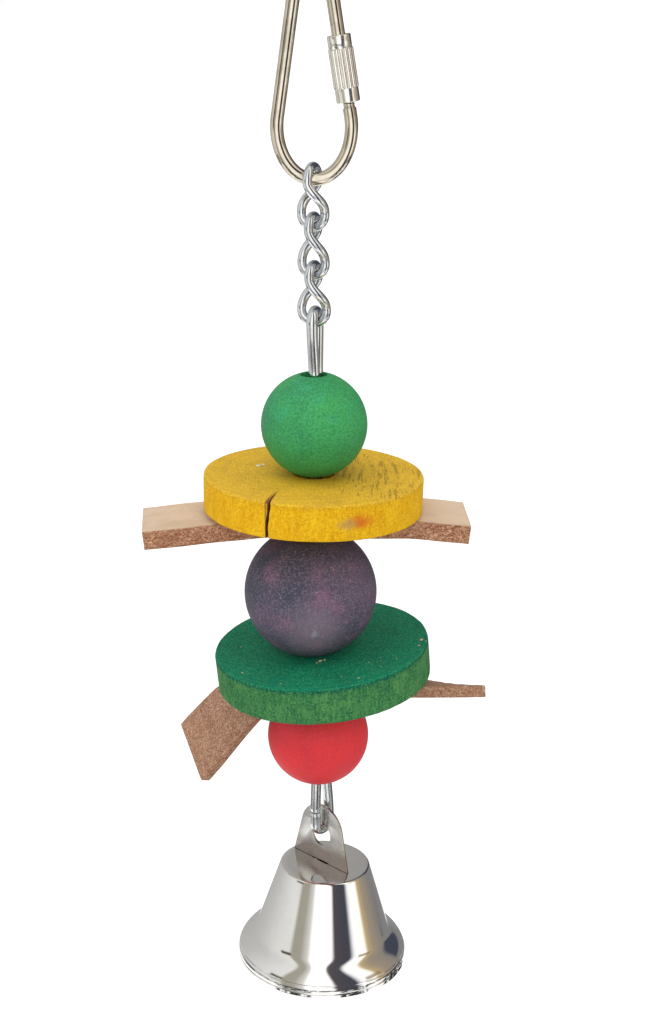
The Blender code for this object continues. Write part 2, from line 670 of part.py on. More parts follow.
def upper_bend(along, across):
    """Both ends droop, the left one sooner, and the strap lies a little askew and off centre."""
    across += UPPER_STRAP_BACK
    if along < 0.0:
        run, drop = drooped(-along, UPPER_LEFT_DROOP, UPPER_LEFT_DROOP_FROM)
        run = -run
    else:
        run, drop = drooped(along, UPPER_RIGHT_DROOP, UPPER_RIGHT_DROOP_FROM)
    c, s = math.cos(UPPER_STRAP_YAW), math.sin(UPPER_STRAP_YAW)
    return run * c - across * s, run * s + across * c, -drop


def lower_bend(along, across):
    """The left end rolls down over a fold line that crosses the strap aslant.

    The right end twists about its near edge, so that its far edge hangs lower.
    """
    if along > 0.0:
        twisted = min(max(along - TWIST_FROM, 0.0) / (LOWER_STRAP_RIGHT - TWIST_FROM), 1.0)
        turn = TWIST_ANGLE * math.sin(math.pi / 2 * twisted)
        reach = across + LOWER_STRAP_WIDTH / 2
        run, drop = drooped(along, LOWER_RIGHT_DROOP, LOWER_RIGHT_DROOP_FROM)
        return run, reach * math.cos(turn) - LOWER_STRAP_WIDTH / 2, -reach * math.sin(turn) - drop
    away = (math.sin(FOLD_LINE), -math.cos(FOLD_LINE))
    past = along * away[0] + across * away[1] - FOLD_FROM
    if past <= 0.0:
        return along, across, 0.0
    turn = min(past / FOLD_RADIUS, FOLD_ANGLE)
    rest = max(past - FOLD_RADIUS * FOLD_ANGLE, 0.0)
    reach = FOLD_RADIUS * math.sin(turn) + rest * math.cos(FOLD_ANGLE)
    drop = FOLD_RADIUS * (1.0 - math.cos(turn)) + rest * math.sin(FOLD_ANGLE)
    return along + away[0] * (reach - past), across + away[1] * (reach - past), -drop


# Bell
BEND_DIRECTION = pair_direction(BEND_CENTRE)
BELL_PIVOT = wire_middle(BEND_CENTRE) - UPRIGHT * (BEND_SPACING / 2)
HOLE_CENTRE_DROP = TAB_HOLE / 2 - HANGER_WIRE / 2 - GAP
CROWN_DROP = HOLE_CENTRE_DROP + TAB_HOLE_HEIGHT


def bell_matrix():
    """Frame of the bell: its origin on the pivot, +Z up its axis, +X along the tab."""
    lean = Matrix.Rotation(BELL_LEAN, 4, "Y")
    tab_along = Vector((BEND_DIRECTION.y, -BEND_DIRECTION.x, 0.0))
    return Matrix.Translation(BELL_PIVOT) @ lean @ frame_matrix((0.0, 0.0, 0.0), UPRIGHT, tab_along)


BELL = bell_matrix()
BELL_AXIS = Matrix.Translation((BELL_OFFSET, 0.0, -CROWN_DROP))


def bell_profile():
    """Outer profile from the crown's middle down to the lip, as radius and height."""
    corner = [(CROWN_RADIUS - CROWN_CORNER * (1 - math.sin(a)), -CROWN_CORNER * (1 - math.cos(a)))
              for a in np.linspace(0.0, math.radians(70.0), 3)]
    cone_end = (WAIST_RADIUS, -WAIST_DROP)
    lip_top = -BELL_HEIGHT + LIP_HEIGHT
    start = math.sin(FLARE_START)
    # Part of an ellipse from the waist out to the mouth, upright where it meets the lip
    flare = [(cone_end[0] + (MOUTH_RADIUS - cone_end[0]) * (math.sin(a) - start) / (1 - start),
              cone_end[1] + (lip_top - cone_end[1]) * (1 - math.cos(a) / math.cos(FLARE_START)))
             for a in np.linspace(FLARE_START, math.pi / 2, 6)[1:]]
    shoulder = corner[-1]
    cone = [(shoulder[0] + (cone_end[0] - shoulder[0]) * t, shoulder[1] + (cone_end[1] - shoulder[1]) * t)
            for t in (0.5, 1.0)]
    return [(0.0, 0.0), *corner, *cone, *flare, (MOUTH_RADIUS, -BELL_HEIGHT)]


def bell_shell(pivot):
    """A turned sheet with a wall inside it, slotted in the crown for the tab's tongue."""
    shell = turned("bell_shell", bell_profile(), material("bell_nickel", NICKEL, 0.08, 1.0),
                   BELL_AXIS, BELL_STEPS, closed=False)
    shell.parent = pivot
    wall = shell.modifiers.new("wall", "SOLIDIFY")
    wall.thickness = BELL_WALL
    wall.offset = -1.0
    wall.use_even_offset = True
    slot = box_mesh("tab_slot", (TONGUE_WIDTH + 2 * GAP, TAB_THICKNESS + 2 * GAP, 4 * BELL_WALL))
    cut(shell, add_cutter("tab_slot", slot, BELL @ Matrix.Translation((0.0, 0.0, -CROWN_DROP))))
    return shell


def tab_outline():
    """Rounded triangle above the crown, narrow tongue with a round end below it."""
    base = GAP
    apex = Vector((0.0, TAB_HEIGHT - TAB_TOP_RADIUS))
    corner = Vector((TAB_WIDTH / 2, base + TAB_CORNER_RISE))
    reach = corner - apex
    lean = math.atan2(-reach.y, reach.x) - math.acos(TAB_TOP_RADIUS / reach.length)
    top = [(apex.x + TAB_TOP_RADIUS * math.cos(a), apex.y + TAB_TOP_RADIUS * math.sin(a))
           for a in np.linspace(-lean, math.pi + lean, 15)]
    tip = -BELL_WALL - TONGUE_DROP
    half = TONGUE_WIDTH / 2
    tongue = [(half * math.cos(a), tip + half * math.sin(a)) for a in np.linspace(-math.pi, 0.0, 11)]
    return [*top, (-corner.x, corner.y), (-half, base), *tongue, (half, base), (corner.x, corner.y)]


def bell_tab(pivot):
    """Stamped plate: the wire's bend passes its upper hole and the clapper hangs in its lower one.

    Two ears folded flat under the crown keep it from pulling out.
    """
    upright = Matrix.Translation((0.0, 0.0, -CROWN_DROP)) @ Matrix.Rotation(math.pi / 2, 4, "X")
    holes = [((0.0, TAB_HOLE_HEIGHT), TAB_HOLE / 2), ((0.0, -BELL_WALL - TONGUE_DROP), TONGUE_HOLE / 2)]
    tab = plate("bell_tab", tab_outline(), holes, TAB_THICKNESS,
                material("tab_nickel", NICKEL, 0.2, 1.0), upright)
    tab.parent = pivot
    ears = box_mesh("tab_ears", (EAR_WIDTH, EAR_SPREAD, TAB_THICKNESS))
    level = -CROWN_DROP - BELL_WALL - GAP - TAB_THICKNESS / 2
    cut(tab, add_cutter("tab_ears", ears, BELL @ Matrix.Translation((0.0, 0.0, level))), "UNION")
    return tab


# Clapper
TONGUE_HOLE_Z = -CROWN_DROP - BELL_WALL - TONGUE_DROP
CLAPPER_PIVOT_Z = TONGUE_HOLE_Z - TONGUE_HOLE / 2 + CLAPPER_WIRE / 2 + SEAT_GAP
CLAPPER_PIVOT = BELL @ Vector((0.0, 0.0, CLAPPER_PIVOT_Z))


def clapper_matrix():
    """Frame of the clapper: its origin on its pivot, hanging plumb, +Y through the tab's hole."""
    return frame_matrix(CLAPPER_PIVOT, UPRIGHT, Vector((BEND_DIRECTION.y, -BEND_DIRECTION.x, 0.0)))


def clapper_wire():
    """An open eye through the tongue's hole, a straight stem and a swaged head under the ball."""
    radius = CLAPPER_EYE / 2
    eye = [(0.0, radius * math.sin(a), -radius + radius * math.cos(a))
           for a in np.linspace(-CLAPPER_EYE_OPENING, math.pi, 15)]
    head_top = -CLAPPER_DROP - CLAPPER_BALL / 2 - SEAT_GAP
    stem = [-2 * radius - CLAPPER_WIRE, head_top + CLAPPER_HEAD_STEP, head_top, head_top - CLAPPER_WIRE]
    points = [*eye, *((0.0, 0.0, height) for height in stem)]
    widths = [CLAPPER_WIRE] * (len(points) - 2) + [CLAPPER_HEAD] * 2
    return tube("clapper_wire", points, CLAPPER_WIRE, material("clapper_steel", ZINC, 0.35, 1.0),
                clapper_matrix(), widths)


def clapper_ball(pivot):
    """A drilled ball that the stem passes."""
    radius = CLAPPER_BALL / 2
    bore = CLAPPER_BORE / 2
    edge = math.asin(bore / radius)
    profile = [(radius * math.sin(a), radius * math.cos(a)) for a in np.linspace(edge, math.pi - edge, 9)]
    ball = turned("clapper_ball", profile, material("clapper_ball_steel", ZINC, 0.35, 1.0),
                  Matrix.Translation((0.0, 0.0, -CLAPPER_DROP)), 16)
    ball.parent = pivot
    return ball


# Build
quick_link_body()
quick_link_nut()
chain()
wire_hanger()
bead("upper_bead", SMALL_BEAD_DIAMETER, SMALL_BEAD_BORE, SMALL_BEAD_RIM, UPRIGHT,
     material("green_ball", (0.05, 0.36, 0.09), 0.45))
crack(disc("yellow_disc", YELLOW_DISC_THICKNESS, YELLOW_NORMAL,
           material("yellow_wood", (0.66, 0.43, 0.03), 0.6)))
strap("upper_leather_strap", UPPER_STRAP_LEFT, UPPER_STRAP_RIGHT, UPPER_LEFT_SKEW, UPPER_STRAP_WIDTH,
      UPPER_STRAP_THICKNESS, upper_bend, material("grain_leather", (0.66, 0.47, 0.33), 0.7),
      frame_matrix(PLACE["upper_strap"], YELLOW_NORMAL))
bead("middle_bead", LARGE_BEAD_DIAMETER, LARGE_BEAD_BORE, LARGE_BEAD_RIM, MIDDLE_BEAD_AXIS,
     material("purple_ball", (0.12, 0.06, 0.12), 0.5))
disc("green_disc", GREEN_DISC_THICKNESS, GREEN_NORMAL,
     material("green_wood", (0.02, 0.24, 0.12), 0.6))
strap("lower_leather_strap", LOWER_STRAP_LEFT, LOWER_STRAP_RIGHT, 0.0, LOWER_STRAP_WIDTH,
      LOWER_STRAP_THICKNESS, lower_bend, material("suede_leather", (0.42, 0.24, 0.16), 0.9),
      frame_matrix(PLACE["lower_strap"], GREEN_NORMAL))
bead("lower_bead", SMALL_BEAD_DIAMETER, SMALL_BEAD_BORE, SMALL_BEAD_RIM, UPRIGHT,
     material("red_ball", (0.70, 0.04, 0.04), 0.45))
bell_pivot = add_empty("bell_pivot", BELL)
bell_shell(bell_pivot)
bell_tab(bell_pivot)
clapper_wire()
clapper_ball(add_empty("clapper_pivot", clapper_matrix()))

# Joint axes, printed for whoever states them
for label, point, axis in (
        ("nut slide", NUT_BOTTOM, LEG_UP),
        ("chain 1", CHAIN_PIVOTS[0], Vector((1.0, 0.0, 0.0))),
        ("chain 2", CHAIN_PIVOTS[1], Vector((-math.sin(CHAIN_TURN), math.cos(CHAIN_TURN), 0.0))),
        ("chain 3", CHAIN_PIVOTS[2], Vector((math.cos(CHAIN_TURN), math.sin(CHAIN_TURN), 0.0))),
        ("hanger", HANGER_PIVOT, pair_direction(EYE_CENTRE)),
        ("bell", BELL_PIVOT, BEND_DIRECTION),
        ("clapper", CLAPPER_PIVOT, BEND_DIRECTION),
        *((name, point, GREEN_NORMAL if name in ("green_disc", "lower_strap") else
           YELLOW_NORMAL if name in ("yellow_disc", "upper_strap") else
           MIDDLE_BEAD_AXIS if name == "middle_bead" else UPRIGHT)
          for name, point in PLACE.items())):
    print(label, [round(v, 5) for v in point], [round(v, 5) for v in axis])
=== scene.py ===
# %% [markdown]
# A hanging toy for a parrot: a quick link and three twisted chain links carry a hairpin of wire.
# Three wooden balls, two slices of branch and two leather straps are threaded on it, and a bell
# with its clapper hangs from the bend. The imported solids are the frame. Every piece below is a
# finer surface in the place of its solid, because wire and turned wood show their roundness.

# %% Load the frame
import json
import math

import bmesh
import bpy
import numpy as np
from mathutils import Matrix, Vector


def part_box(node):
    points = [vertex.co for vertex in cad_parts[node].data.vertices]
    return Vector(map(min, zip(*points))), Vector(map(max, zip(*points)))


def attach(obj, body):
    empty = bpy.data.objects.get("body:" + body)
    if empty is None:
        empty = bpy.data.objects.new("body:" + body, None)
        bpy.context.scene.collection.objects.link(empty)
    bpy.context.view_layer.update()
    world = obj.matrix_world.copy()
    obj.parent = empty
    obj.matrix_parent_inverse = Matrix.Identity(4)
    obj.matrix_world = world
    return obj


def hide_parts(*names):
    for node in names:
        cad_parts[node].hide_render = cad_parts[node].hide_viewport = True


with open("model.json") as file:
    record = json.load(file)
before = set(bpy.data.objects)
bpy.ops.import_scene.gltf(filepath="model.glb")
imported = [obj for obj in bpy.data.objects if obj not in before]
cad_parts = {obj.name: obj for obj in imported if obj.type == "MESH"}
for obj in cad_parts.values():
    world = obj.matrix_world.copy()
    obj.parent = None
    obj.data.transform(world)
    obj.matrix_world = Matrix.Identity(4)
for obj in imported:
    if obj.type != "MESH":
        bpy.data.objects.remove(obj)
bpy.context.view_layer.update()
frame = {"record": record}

MM = 0.001
joints = {joint["child"]: joint for joint in frame["record"]["behaviour"]["joints"]}
pivot, axis = ({body: np.array(joint[key], dtype=float) for body, joint in joints.items() if key in joint}
               for key in ("pos_m", "axis"))


# %% [markdown]
# Each surface is a grid of points worked out as one numpy array. A grid that meets itself is
# wrapped, and a row drawn together to one point closes an end. Merging doubled points then turns
# such a row into a fan, and the normals are set outwards once, on the closed shape.

# %% Grids into meshes
def grid_faces(rows, columns, wrap_rows, wrap_columns):
    """Corner numbers of the quads between neighbours on a grid, as one array of rows of four."""
    row = np.arange(rows if wrap_rows else rows - 1)[:, None]
    column = np.arange(columns if wrap_columns else columns - 1)[None, :]
    below, right = (row + 1) % rows, (column + 1) % columns
    corners = [row * columns + column, row * columns + right, below * columns + right,
               below * columns + column]
    return np.stack(np.broadcast_arrays(*corners), axis=-1).reshape(-1, 4)


def outwards(mesh, merge=0.0005 * MM):
    """Merges doubled points and turns all faces outwards, by the sign of the volume inside them."""
    shape = bmesh.new()
    shape.from_mesh(mesh)
    bmesh.ops.remove_doubles(shape, verts=shape.verts, dist=merge)
    bmesh.ops.recalc_face_normals(shape, faces=shape.faces)
    if shape.calc_volume(signed=True) < 0.0:
        bmesh.ops.reverse_faces(shape, faces=shape.faces)
    shape.to_mesh(mesh)
    shape.free()
    mesh.shade_smooth()
    return mesh


def closed_mesh(name, grids, wrap_rows=False, wrap_columns=True, marks=None):
    """One mesh of a grid of points or of a list of grids.

    marks names values, one a point, that are kept as attributes.
    """
    grids = [grids] if isinstance(grids, np.ndarray) else grids
    faces, start = [], 0
    for points in grids:
        faces.append(grid_faces(*points.shape[:2], wrap_rows, wrap_columns) + start)
        start += points.shape[0] * points.shape[1]
    mesh = bpy.data.meshes.new(name)
    mesh.from_pydata(np.concatenate([points.reshape(-1, 3) for points in grids]), [],
                     np.concatenate(faces).tolist())
    for mark, values in (marks or {}).items():
        layer = mesh.attributes.new(mark, "FLOAT", "POINT")
        layer.data.foreach_set("value", np.asarray(values, dtype=np.float32).ravel())
    return outwards(mesh)


# %% [markdown]
# A piece is a mesh that stands in for one or more of the frame's solids. It rides on the body that
# those solids belong to, so it moves with the joint, and it carries its material.

# %% Pieces
def add_object(name, data):
    thing = bpy.data.objects.new(name, data)
    bpy.context.scene.collection.objects.link(thing)
    return thing


def add_piece(name, shape, body, finish, nodes, sharp=40.0, wrap=False):
    """A mesh, or a grid that is made one, as a piece that rides on a body in place of its solids."""
    mesh = shape if isinstance(shape, bpy.types.Mesh) else closed_mesh(name, shape, wrap)
    mesh.set_sharp_from_angle(angle=math.radians(sharp))
    mesh.materials.append(finish)
    piece = add_object(name, mesh)
    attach(piece, body)
    if nodes:
        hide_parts(*nodes)
    print(name, "rides on", body, "with", len(mesh.polygons), "faces")


# %% [markdown]
# Balls, slices, nut and bell are turned: one profile carried round an axis. The profile is drawn
# in a local frame, and a frame of its own then puts each piece where the solid is.

# %% Turning
def unit(vectors):
    return vectors / np.linalg.norm(vectors, axis=-1, keepdims=True)


def frame_of(origin, upwards, along=(1.0, 0.0, 0.0)):
    """Origin and a 3 by 3 turn whose third column is upwards, the first as near to along as can be."""
    z = unit(np.array(upwards, dtype=float))
    y = unit(np.cross(z, np.array(along, dtype=float)))
    return np.array(origin, dtype=float), np.stack([np.cross(y, z), y, z], axis=1)


LEVEL = np.zeros(3), np.eye(3)


def placed(points, place):
    """Points of a local frame in the row frame."""
    origin, turn = place
    return points @ turn.T + origin


def circle(steps):
    return np.linspace(0.0, 2.0 * math.pi, steps, endpoint=False)


def turned(profile, place, steps=96, swell=None):
    """Profile point (r, z) at angle a goes to (r cos a, r sin a, z), r times 1 + swell(a, r, z)."""
    profile = np.array(profile)
    angle = circle(steps)[None, :]
    radius, height = profile[:, :1], profile[:, 1:]
    if swell is not None:
        radius = radius * (1.0 + swell(angle, radius, height))
    points = np.broadcast_arrays(radius * np.cos(angle), radius * np.sin(angle), height)
    return placed(np.stack(points, axis=-1), place)


# %% [markdown]
# Wires are swept: one circle carried along a path. A sweep needs a direction across the path that
# never runs along it, and each wire here has one that is easy to name, so no twist creeps in.

# %% Sweeping
def swept(path, across, radius, sides=24, wrap=False):
    """Round wire: path point plus radius times (cos u times side, plus sin u times up).

    Side is the given direction with its part along the path taken out, and up is square to both.
    An open wire gets a last row of radius 0 at each end.
    """
    ahead = np.roll(path, -1, axis=0) - np.roll(path, 1, axis=0) if wrap else np.gradient(path, axis=0)
    tangent = unit(ahead)
    across = np.broadcast_to(np.asarray(across, dtype=float), path.shape)
    side = unit(across - (across * tangent).sum(axis=1, keepdims=True) * tangent)
    up = np.cross(tangent, side)
    u = circle(sides)[None, :, None]
    radius = radius[:, :, None] if np.ndim(radius) == 2 else np.reshape(radius, (-1, 1, 1))
    ring = path[:, None, :] + radius * (np.cos(u) * side[:, None, :] + np.sin(u) * up[:, None, :])
    if wrap:
        return ring
    ends = [np.repeat(path[end][None, None, :], sides, axis=1) for end in (0, -1)]
    return np.concatenate([ends[0], ring, ends[1]], axis=0)


# %% [markdown]
# Paths and profiles are put together from straight runs and arcs. A smooth step eases one value
# into another wherever a piece bends, widens or fades.

# %% Lines, arcs and easing
def straight(start, stop, count):
    return start + (np.array(stop) - start) * np.linspace(0.0, 1.0, count)[:, None]


def between(start, stop, count):
    """Points on a straight line without its ends."""
    return straight(np.array(start), stop, count + 2)[1:-1]


def arc(centre, radius, start, stop, count=5):
    """Points of a circle in the profile's plane, from one angle in degrees to another."""
    a = np.radians(np.linspace(start, stop, count))
    return [(centre[0] + radius * math.cos(t), centre[1] + radius * math.sin(t)) for t in a]


def smooth(x):
    """Smooth step: 3x² - 2x³ between 0 and 1."""
    x = np.clip(x, 0.0, 1.0)
    return x * x * (3.0 - 2.0 * x)


# %% [markdown]
# Shader maths reads best as sums. A Field wraps a socket that carries one number, so that
# 1 - mask * 0.4 adds the Math nodes by itself. Nodes is a node tree under construction, and its
# node method adds any other node: settings first, then sockets.

# %% Shader maths
class Field:
    """A number that changes over the surface, on which arithmetic adds Math nodes."""

    def __init__(self, nodes, socket):
        self.nodes, self.socket = nodes, socket

    def math(self, operation, *values):
        return self.nodes.node("ShaderNodeMath", {"operation": operation}, dict(enumerate(values)))

    def __add__(self, other):
        return self.math("ADD", self, other)

    def __sub__(self, other):
        return self.math("SUBTRACT", self, other)

    def __mul__(self, other):
        return self.math("MULTIPLY", self, other)

    def __truediv__(self, other):
        return self.math("DIVIDE", self, other)

    def __rsub__(self, other):
        return self.math("SUBTRACT", other, self)

    __radd__, __rmul__ = __add__, __mul__

    def step(self, low, high):
        """Smooth step from 0 at low to 1 at high, which may lie below low."""
        return self.nodes.node("ShaderNodeMapRange", {"interpolation_type": "SMOOTHSTEP"},
                               {"Value": self, "From Min": low, "From Max": high})

    def band(self, start, full, still, stop):
        """1 from full to still, and 0 before start and after stop."""
        return self.step(start, full) * self.step(stop, still)


class Nodes:
    """A node tree under construction."""

    def __init__(self, tree):
        self.tree = tree

    def node(self, kind, settings=None, sockets=None, output=0):
        """Any node: its settings, then its sockets by name or number, and one output as a Field.

        A ramp's stops are the setting stops, as (place, colour).
        """
        made = self.tree.nodes.new(kind)
        for setting, value in (settings or {}).items():
            if setting == "stops":
                for number, (place, colour) in enumerate(value):
                    stops = made.color_ramp.elements
                    stop = stops[number] if number < len(stops) else stops.new(1.0)
                    stop.position, stop.color = place, (*colour, 1.0)
            else:
                setattr(made, setting, value)
        for key, value in (sockets or {}).items():
            self.connect(made.inputs[key], value)
        return Field(self, made.outputs[output])

    def connect(self, socket, value):
        if isinstance(value, Field):
            self.tree.links.new(value.socket, socket)
        elif socket.type == "RGBA":
            socket.default_value = (*value, 1.0)
        else:
            socket.default_value = value


# %% [markdown]
# A finish is a material. Its patterns are noises and specks on Object coordinates, which are the
# same metres as the mesh, so a pattern keeps its real size on every piece.

# %% Materials under construction
class Finish(Nodes):
    """A material under construction. Positions are Object coordinates, in metres."""

    def __init__(self, name, **shader):
        self.material = bpy.data.materials.new(name)
        self.material.use_nodes = True
        super().__init__(self.material.node_tree)
        self.shader = self.tree.nodes["Principled BSDF"]
        self.set(**shader)

    def set(self, **values):
        for socket, value in values.items():
            self.connect(self.shader.inputs[socket.replace("_", " ")], value)
        return self.material

    def mix(self, mask, low, high):
        """Colour low where the mask is 0 and high where it is 1."""
        return self.node("ShaderNodeMix", {"data_type": "RGBA"}, {0: mask, 6: low, 7: high}, output=2)

    def over(self, tone, *layers):
        """Colours laid over the tone in turn, each as (mask, colour)."""
        for mask, colour in layers:
            tone = self.mix(mask, tone, colour)
        return tone

    def place(self, origin=(0.0, 0.0, 0.0), turn=(0.0, 0.0, 0.0), stretch=(1.0, 1.0, 1.0)):
        """Object coordinates moved to an origin, turned, and stretched."""
        away = self.node("ShaderNodeVectorMath", {"operation": "SUBTRACT"},
                         {0: self.node("ShaderNodeTexCoord", output="Object"),
                          1: tuple(float(v) for v in origin)})
        return self.node("ShaderNodeMapping", {}, {"Vector": away, "Rotation": turn, "Scale": stretch})

    def noise(self, where, scale, detail=4.0, rough=0.55, warp=0.0):
        """Noise from 0 to 1, mostly near a half. Scale is in features a metre."""
        return self.node("ShaderNodeTexNoise", {}, {"Vector": where, "Scale": scale, "Detail": detail,
                                                    "Roughness": rough, "Distortion": warp})

    def spots(self, where, scale, size, chance):
        """Sparse round specks: 1 inside a few of the cells' centres, 0 elsewhere."""
        distance, colour = (self.node("ShaderNodeTexVoronoi", {}, {"Vector": where, "Scale": scale}, output)
                            for output in ("Distance", "Color"))
        pick = self.node("ShaderNodeSeparateColor", {}, {0: colour})
        return distance.step(size, size * 0.6) * pick.step(1.0 - chance, 1.0 - chance * 0.9)

    def part(self, where, number):
        """One coordinate, 0 for X, 1 for Y, 2 for Z."""
        return self.node("ShaderNodeSeparateXYZ", {}, {0: where}, output=number)

    def azimuth(self, where):
        """Angle about Z from the camera's side to the right: atan2(x, -y)."""
        x = self.part(where, 0)
        return x.math("ARCTAN2", x, self.part(where, 1) * -1.0)

    def length(self, where):
        return self.node("ShaderNodeVectorMath", {"operation": "LENGTH"}, {0: where}, output="Value")

    def bump(self, height, depth):
        """Height from 0 to 1 as relief that is depth metres deep."""
        self.set(Normal=self.node("ShaderNodeBump", {}, {"Height": height, "Strength": 1.0,
                                                         "Distance": depth}))


def shaded(colour, share):
    """The colour times a share, and never over 0.95."""
    return tuple(min(v * share, 0.95) for v in colour)


# %% [markdown]
# The metals differ. The quick link is bright nickel, warm and a little yellow, and its nut is
# paler and satin. The chain and the hanger are zinc, which is bluer and duller. The bell is polished
# nickel, nearly a mirror, its stamped tab is tarnished low down, and the clapper is dull steel. All
# have faint patches of haze and a fine unevenness, and all but the bell have tiny pits.

# %% Metal finishes
PIT_COLOUR, TARNISH = (0.20, 0.19, 0.18), (0.24, 0.185, 0.165)
TARNISH_BELOW, TARNISH_FADE = -206.0 * MM, 3.5 * MM


def plating(name, colour, dull, roughness, haze, depth, pitted=0.12, tarnished=False):
    """Colour and dull follow the haze. A tarnished piece goes brown below one height."""
    finish = Finish(name, Metallic=1.0)
    where = finish.place()
    patch = finish.noise(where, 260.0, 5.0, 0.6)
    pits = finish.spots(where, 2600.0, 0.24, pitted)
    fine = finish.noise(where, 2400.0, 2.0)
    tint = finish.mix(patch.step(0.38, 0.68), colour, dull)
    if tarnished:
        low = finish.part(where, 2).step(TARNISH_BELOW + TARNISH_FADE, TARNISH_BELOW)
        tint = finish.mix(low * 0.75, tint, TARNISH)
    finish.bump(fine * 0.6 + pits * -0.4, depth)
    return finish.set(Base_Color=finish.mix(pits * 0.45, tint, PIT_COLOUR),
                      Roughness=roughness + haze * patch.step(0.35, 0.75) + pits * 0.15)


link_metal = plating("warm_nickel", (0.70, 0.64, 0.53), (0.54, 0.49, 0.39), 0.05, 0.06, 0.008 * MM)
nut_metal = plating("nut_nickel_finish", (0.88, 0.85, 0.78), (0.80, 0.77, 0.69), 0.16, 0.10, 0.008 * MM)
chain_metal = plating("blue_zinc", (0.74, 0.76, 0.78), (0.58, 0.61, 0.63), 0.09, 0.10, 0.008 * MM)
hanger_metal = plating("hanger_zinc_finish", (0.74, 0.76, 0.76), (0.62, 0.65, 0.65), 0.12, 0.10, 0.008 * MM)
bell_metal = plating("mirror_nickel", (0.80, 0.785, 0.76), (0.77, 0.755, 0.73), 0.05, 0.05, 0.002 * MM, 0.0)
tab_metal = plating("stamped_nickel", (0.66, 0.64, 0.61), (0.58, 0.56, 0.53), 0.20, 0.12, 0.005 * MM,
                    tarnished=True)
clapper_metal = plating("bright_steel", (0.55, 0.55, 0.56), (0.42, 0.42, 0.43), 0.28, 0.18, 0.012 * MM)
print("metals:", link_metal.name, chain_metal.name, bell_metal.name)


# %% [markdown]
# The quick link opens at a gate in its right leg, which a long nut bridges. The leg leans outwards,
# so heights along it are turned into points on its centre line first. The nut's axis comes from
# the frame, because the nut slides along it.

# %% Gate of the quick link
LINK_ROD, LINK_SIDES = 2.9 * MM, 32
LINK_TOP_RADIUS = 3.6 * MM
LINK_HALF_WIDTH, LINK_BOTTOM_HEIGHT = 8.0 * MM, 11.0 * MM
THREAD_ROOT, THREAD_PITCH, THREAD_DEPTH = 2.3 * MM, 0.5 * MM, 0.1 * MM
THREAD_ENGAGED, THREAD_SHOWING = 2.5 * MM, 1.2 * MM
ROD_STEP = 0.15 * MM
GATE_OPENING = 6.0 * MM
NUT_LENGTH, NUT_BELOW_TOP = 14.0 * MM, 13.2 * MM
NUT_UPPER_COLLAR, NUT_LOWER_COLLAR = 2.8 * MM, 2.9 * MM

link_top = LINK_ROD / 2 - LINK_TOP_RADIUS
ellipse_height = pivot["chain_link_1"][2] + LINK_BOTTOM_HEIGHT
leg_up = unit(axis["nut"])
lean = math.asin(-leg_up[0])


def on_leg(z):
    """Point of the right leg's centre line at height z."""
    top = np.array([LINK_TOP_RADIUS * math.cos(lean), 0.0, link_top + LINK_TOP_RADIUS * math.sin(lean)])
    return top + leg_up * ((z - top[2]) / leg_up[2])


nut_top = on_leg(-NUT_BELOW_TOP)
nut_low = nut_top - leg_up * NUT_LENGTH
gate_low = nut_low + leg_up * THREAD_ENGAGED
gate_high = gate_low + leg_up * GATE_OPENING
print("the nut reaches from", np.round(nut_low / MM, 1), "to", np.round(nut_top / MM, 1), "mm")


# %% [markdown]
# The quick link is one bent rod: a tight arc on top, two straight legs that lean outwards and a
# half ellipse below. The legs are the tangents that the arc and the ellipse share. Both of its
# ends are thinner and carry a thread for the nut.

# %% Quick link
def quick_link():
    """Path down the right leg's thread, round the bottom, up and over, and down to the upper thread.

    The radius is the rod's, and on a thread it is the root's plus a sine of height and angle, which
    winds as a screw thread does.
    """
    foot = math.atan2(LINK_BOTTOM_HEIGHT * math.sin(lean), LINK_HALF_WIDTH * math.cos(lean))
    a = np.linspace(foot, -math.pi - foot, 140)[:, None]
    bottom = np.hstack([LINK_HALF_WIDTH * np.cos(a), 0 * a,
                        ellipse_height + LINK_BOTTOM_HEIGHT * np.sin(a)])
    b = np.linspace(lean, math.pi - lean, 70)[:, None]
    top = np.hstack([-LINK_TOP_RADIUS * np.cos(b), 0 * b, link_top + LINK_TOP_RADIUS * np.sin(b)])
    shoulder, collar = nut_low - leg_up * THREAD_SHOWING, nut_top - leg_up * NUT_UPPER_COLLAR
    step = straight(shoulder, shoulder - leg_up * ROD_STEP, 4)[1:]
    upper_step = straight(collar + leg_up * ROD_STEP, collar, 4)[:-1]
    rod = [step, bottom, between(bottom[-1], top[0], 28), top, between(top[-1], upper_step[0], 18),
           upper_step]
    lower, upper = straight(gate_low, shoulder, 60), straight(collar, gate_high, 40)
    path = np.concatenate([lower, *rod, upper])
    along = np.concatenate([[0.0], np.cumsum(np.linalg.norm(np.diff(path, axis=0), axis=1))])[:, None]
    screw = np.sin(2 * math.pi * along / THREAD_PITCH + circle(LINK_SIDES)[None, :])
    radius = THREAD_ROOT / 2 + THREAD_DEPTH / 2 * (1.0 + screw)
    radius[len(lower):-len(upper)] = LINK_ROD / 2
    radius[[0, -1]] = THREAD_ROOT / 2 * 0.9
    return swept(path, (0.0, 1.0, 0.0), radius, LINK_SIDES)


add_piece("quick_link_rod", quick_link(), "quick_link", link_metal, ["quick_link_body"])


# %% [markdown]
# The nut is a sleeve with a fluted grip between smooth collars. Its profile is turned with 14
# waves on the rows of the grip alone: the wave fades out where the collars start.

# %% Nut
NUT_COLLAR, NUT_GRIP = 5.1 * MM / 2, 5.5 * MM / 2
NUT_BORE = LINK_ROD / 2 + 0.25 * MM
NUT_EDGE, NUT_STEP = 0.25 * MM, 0.05 * MM
FLUTES, FLUTE_DEPTH = 14, 0.28 * MM


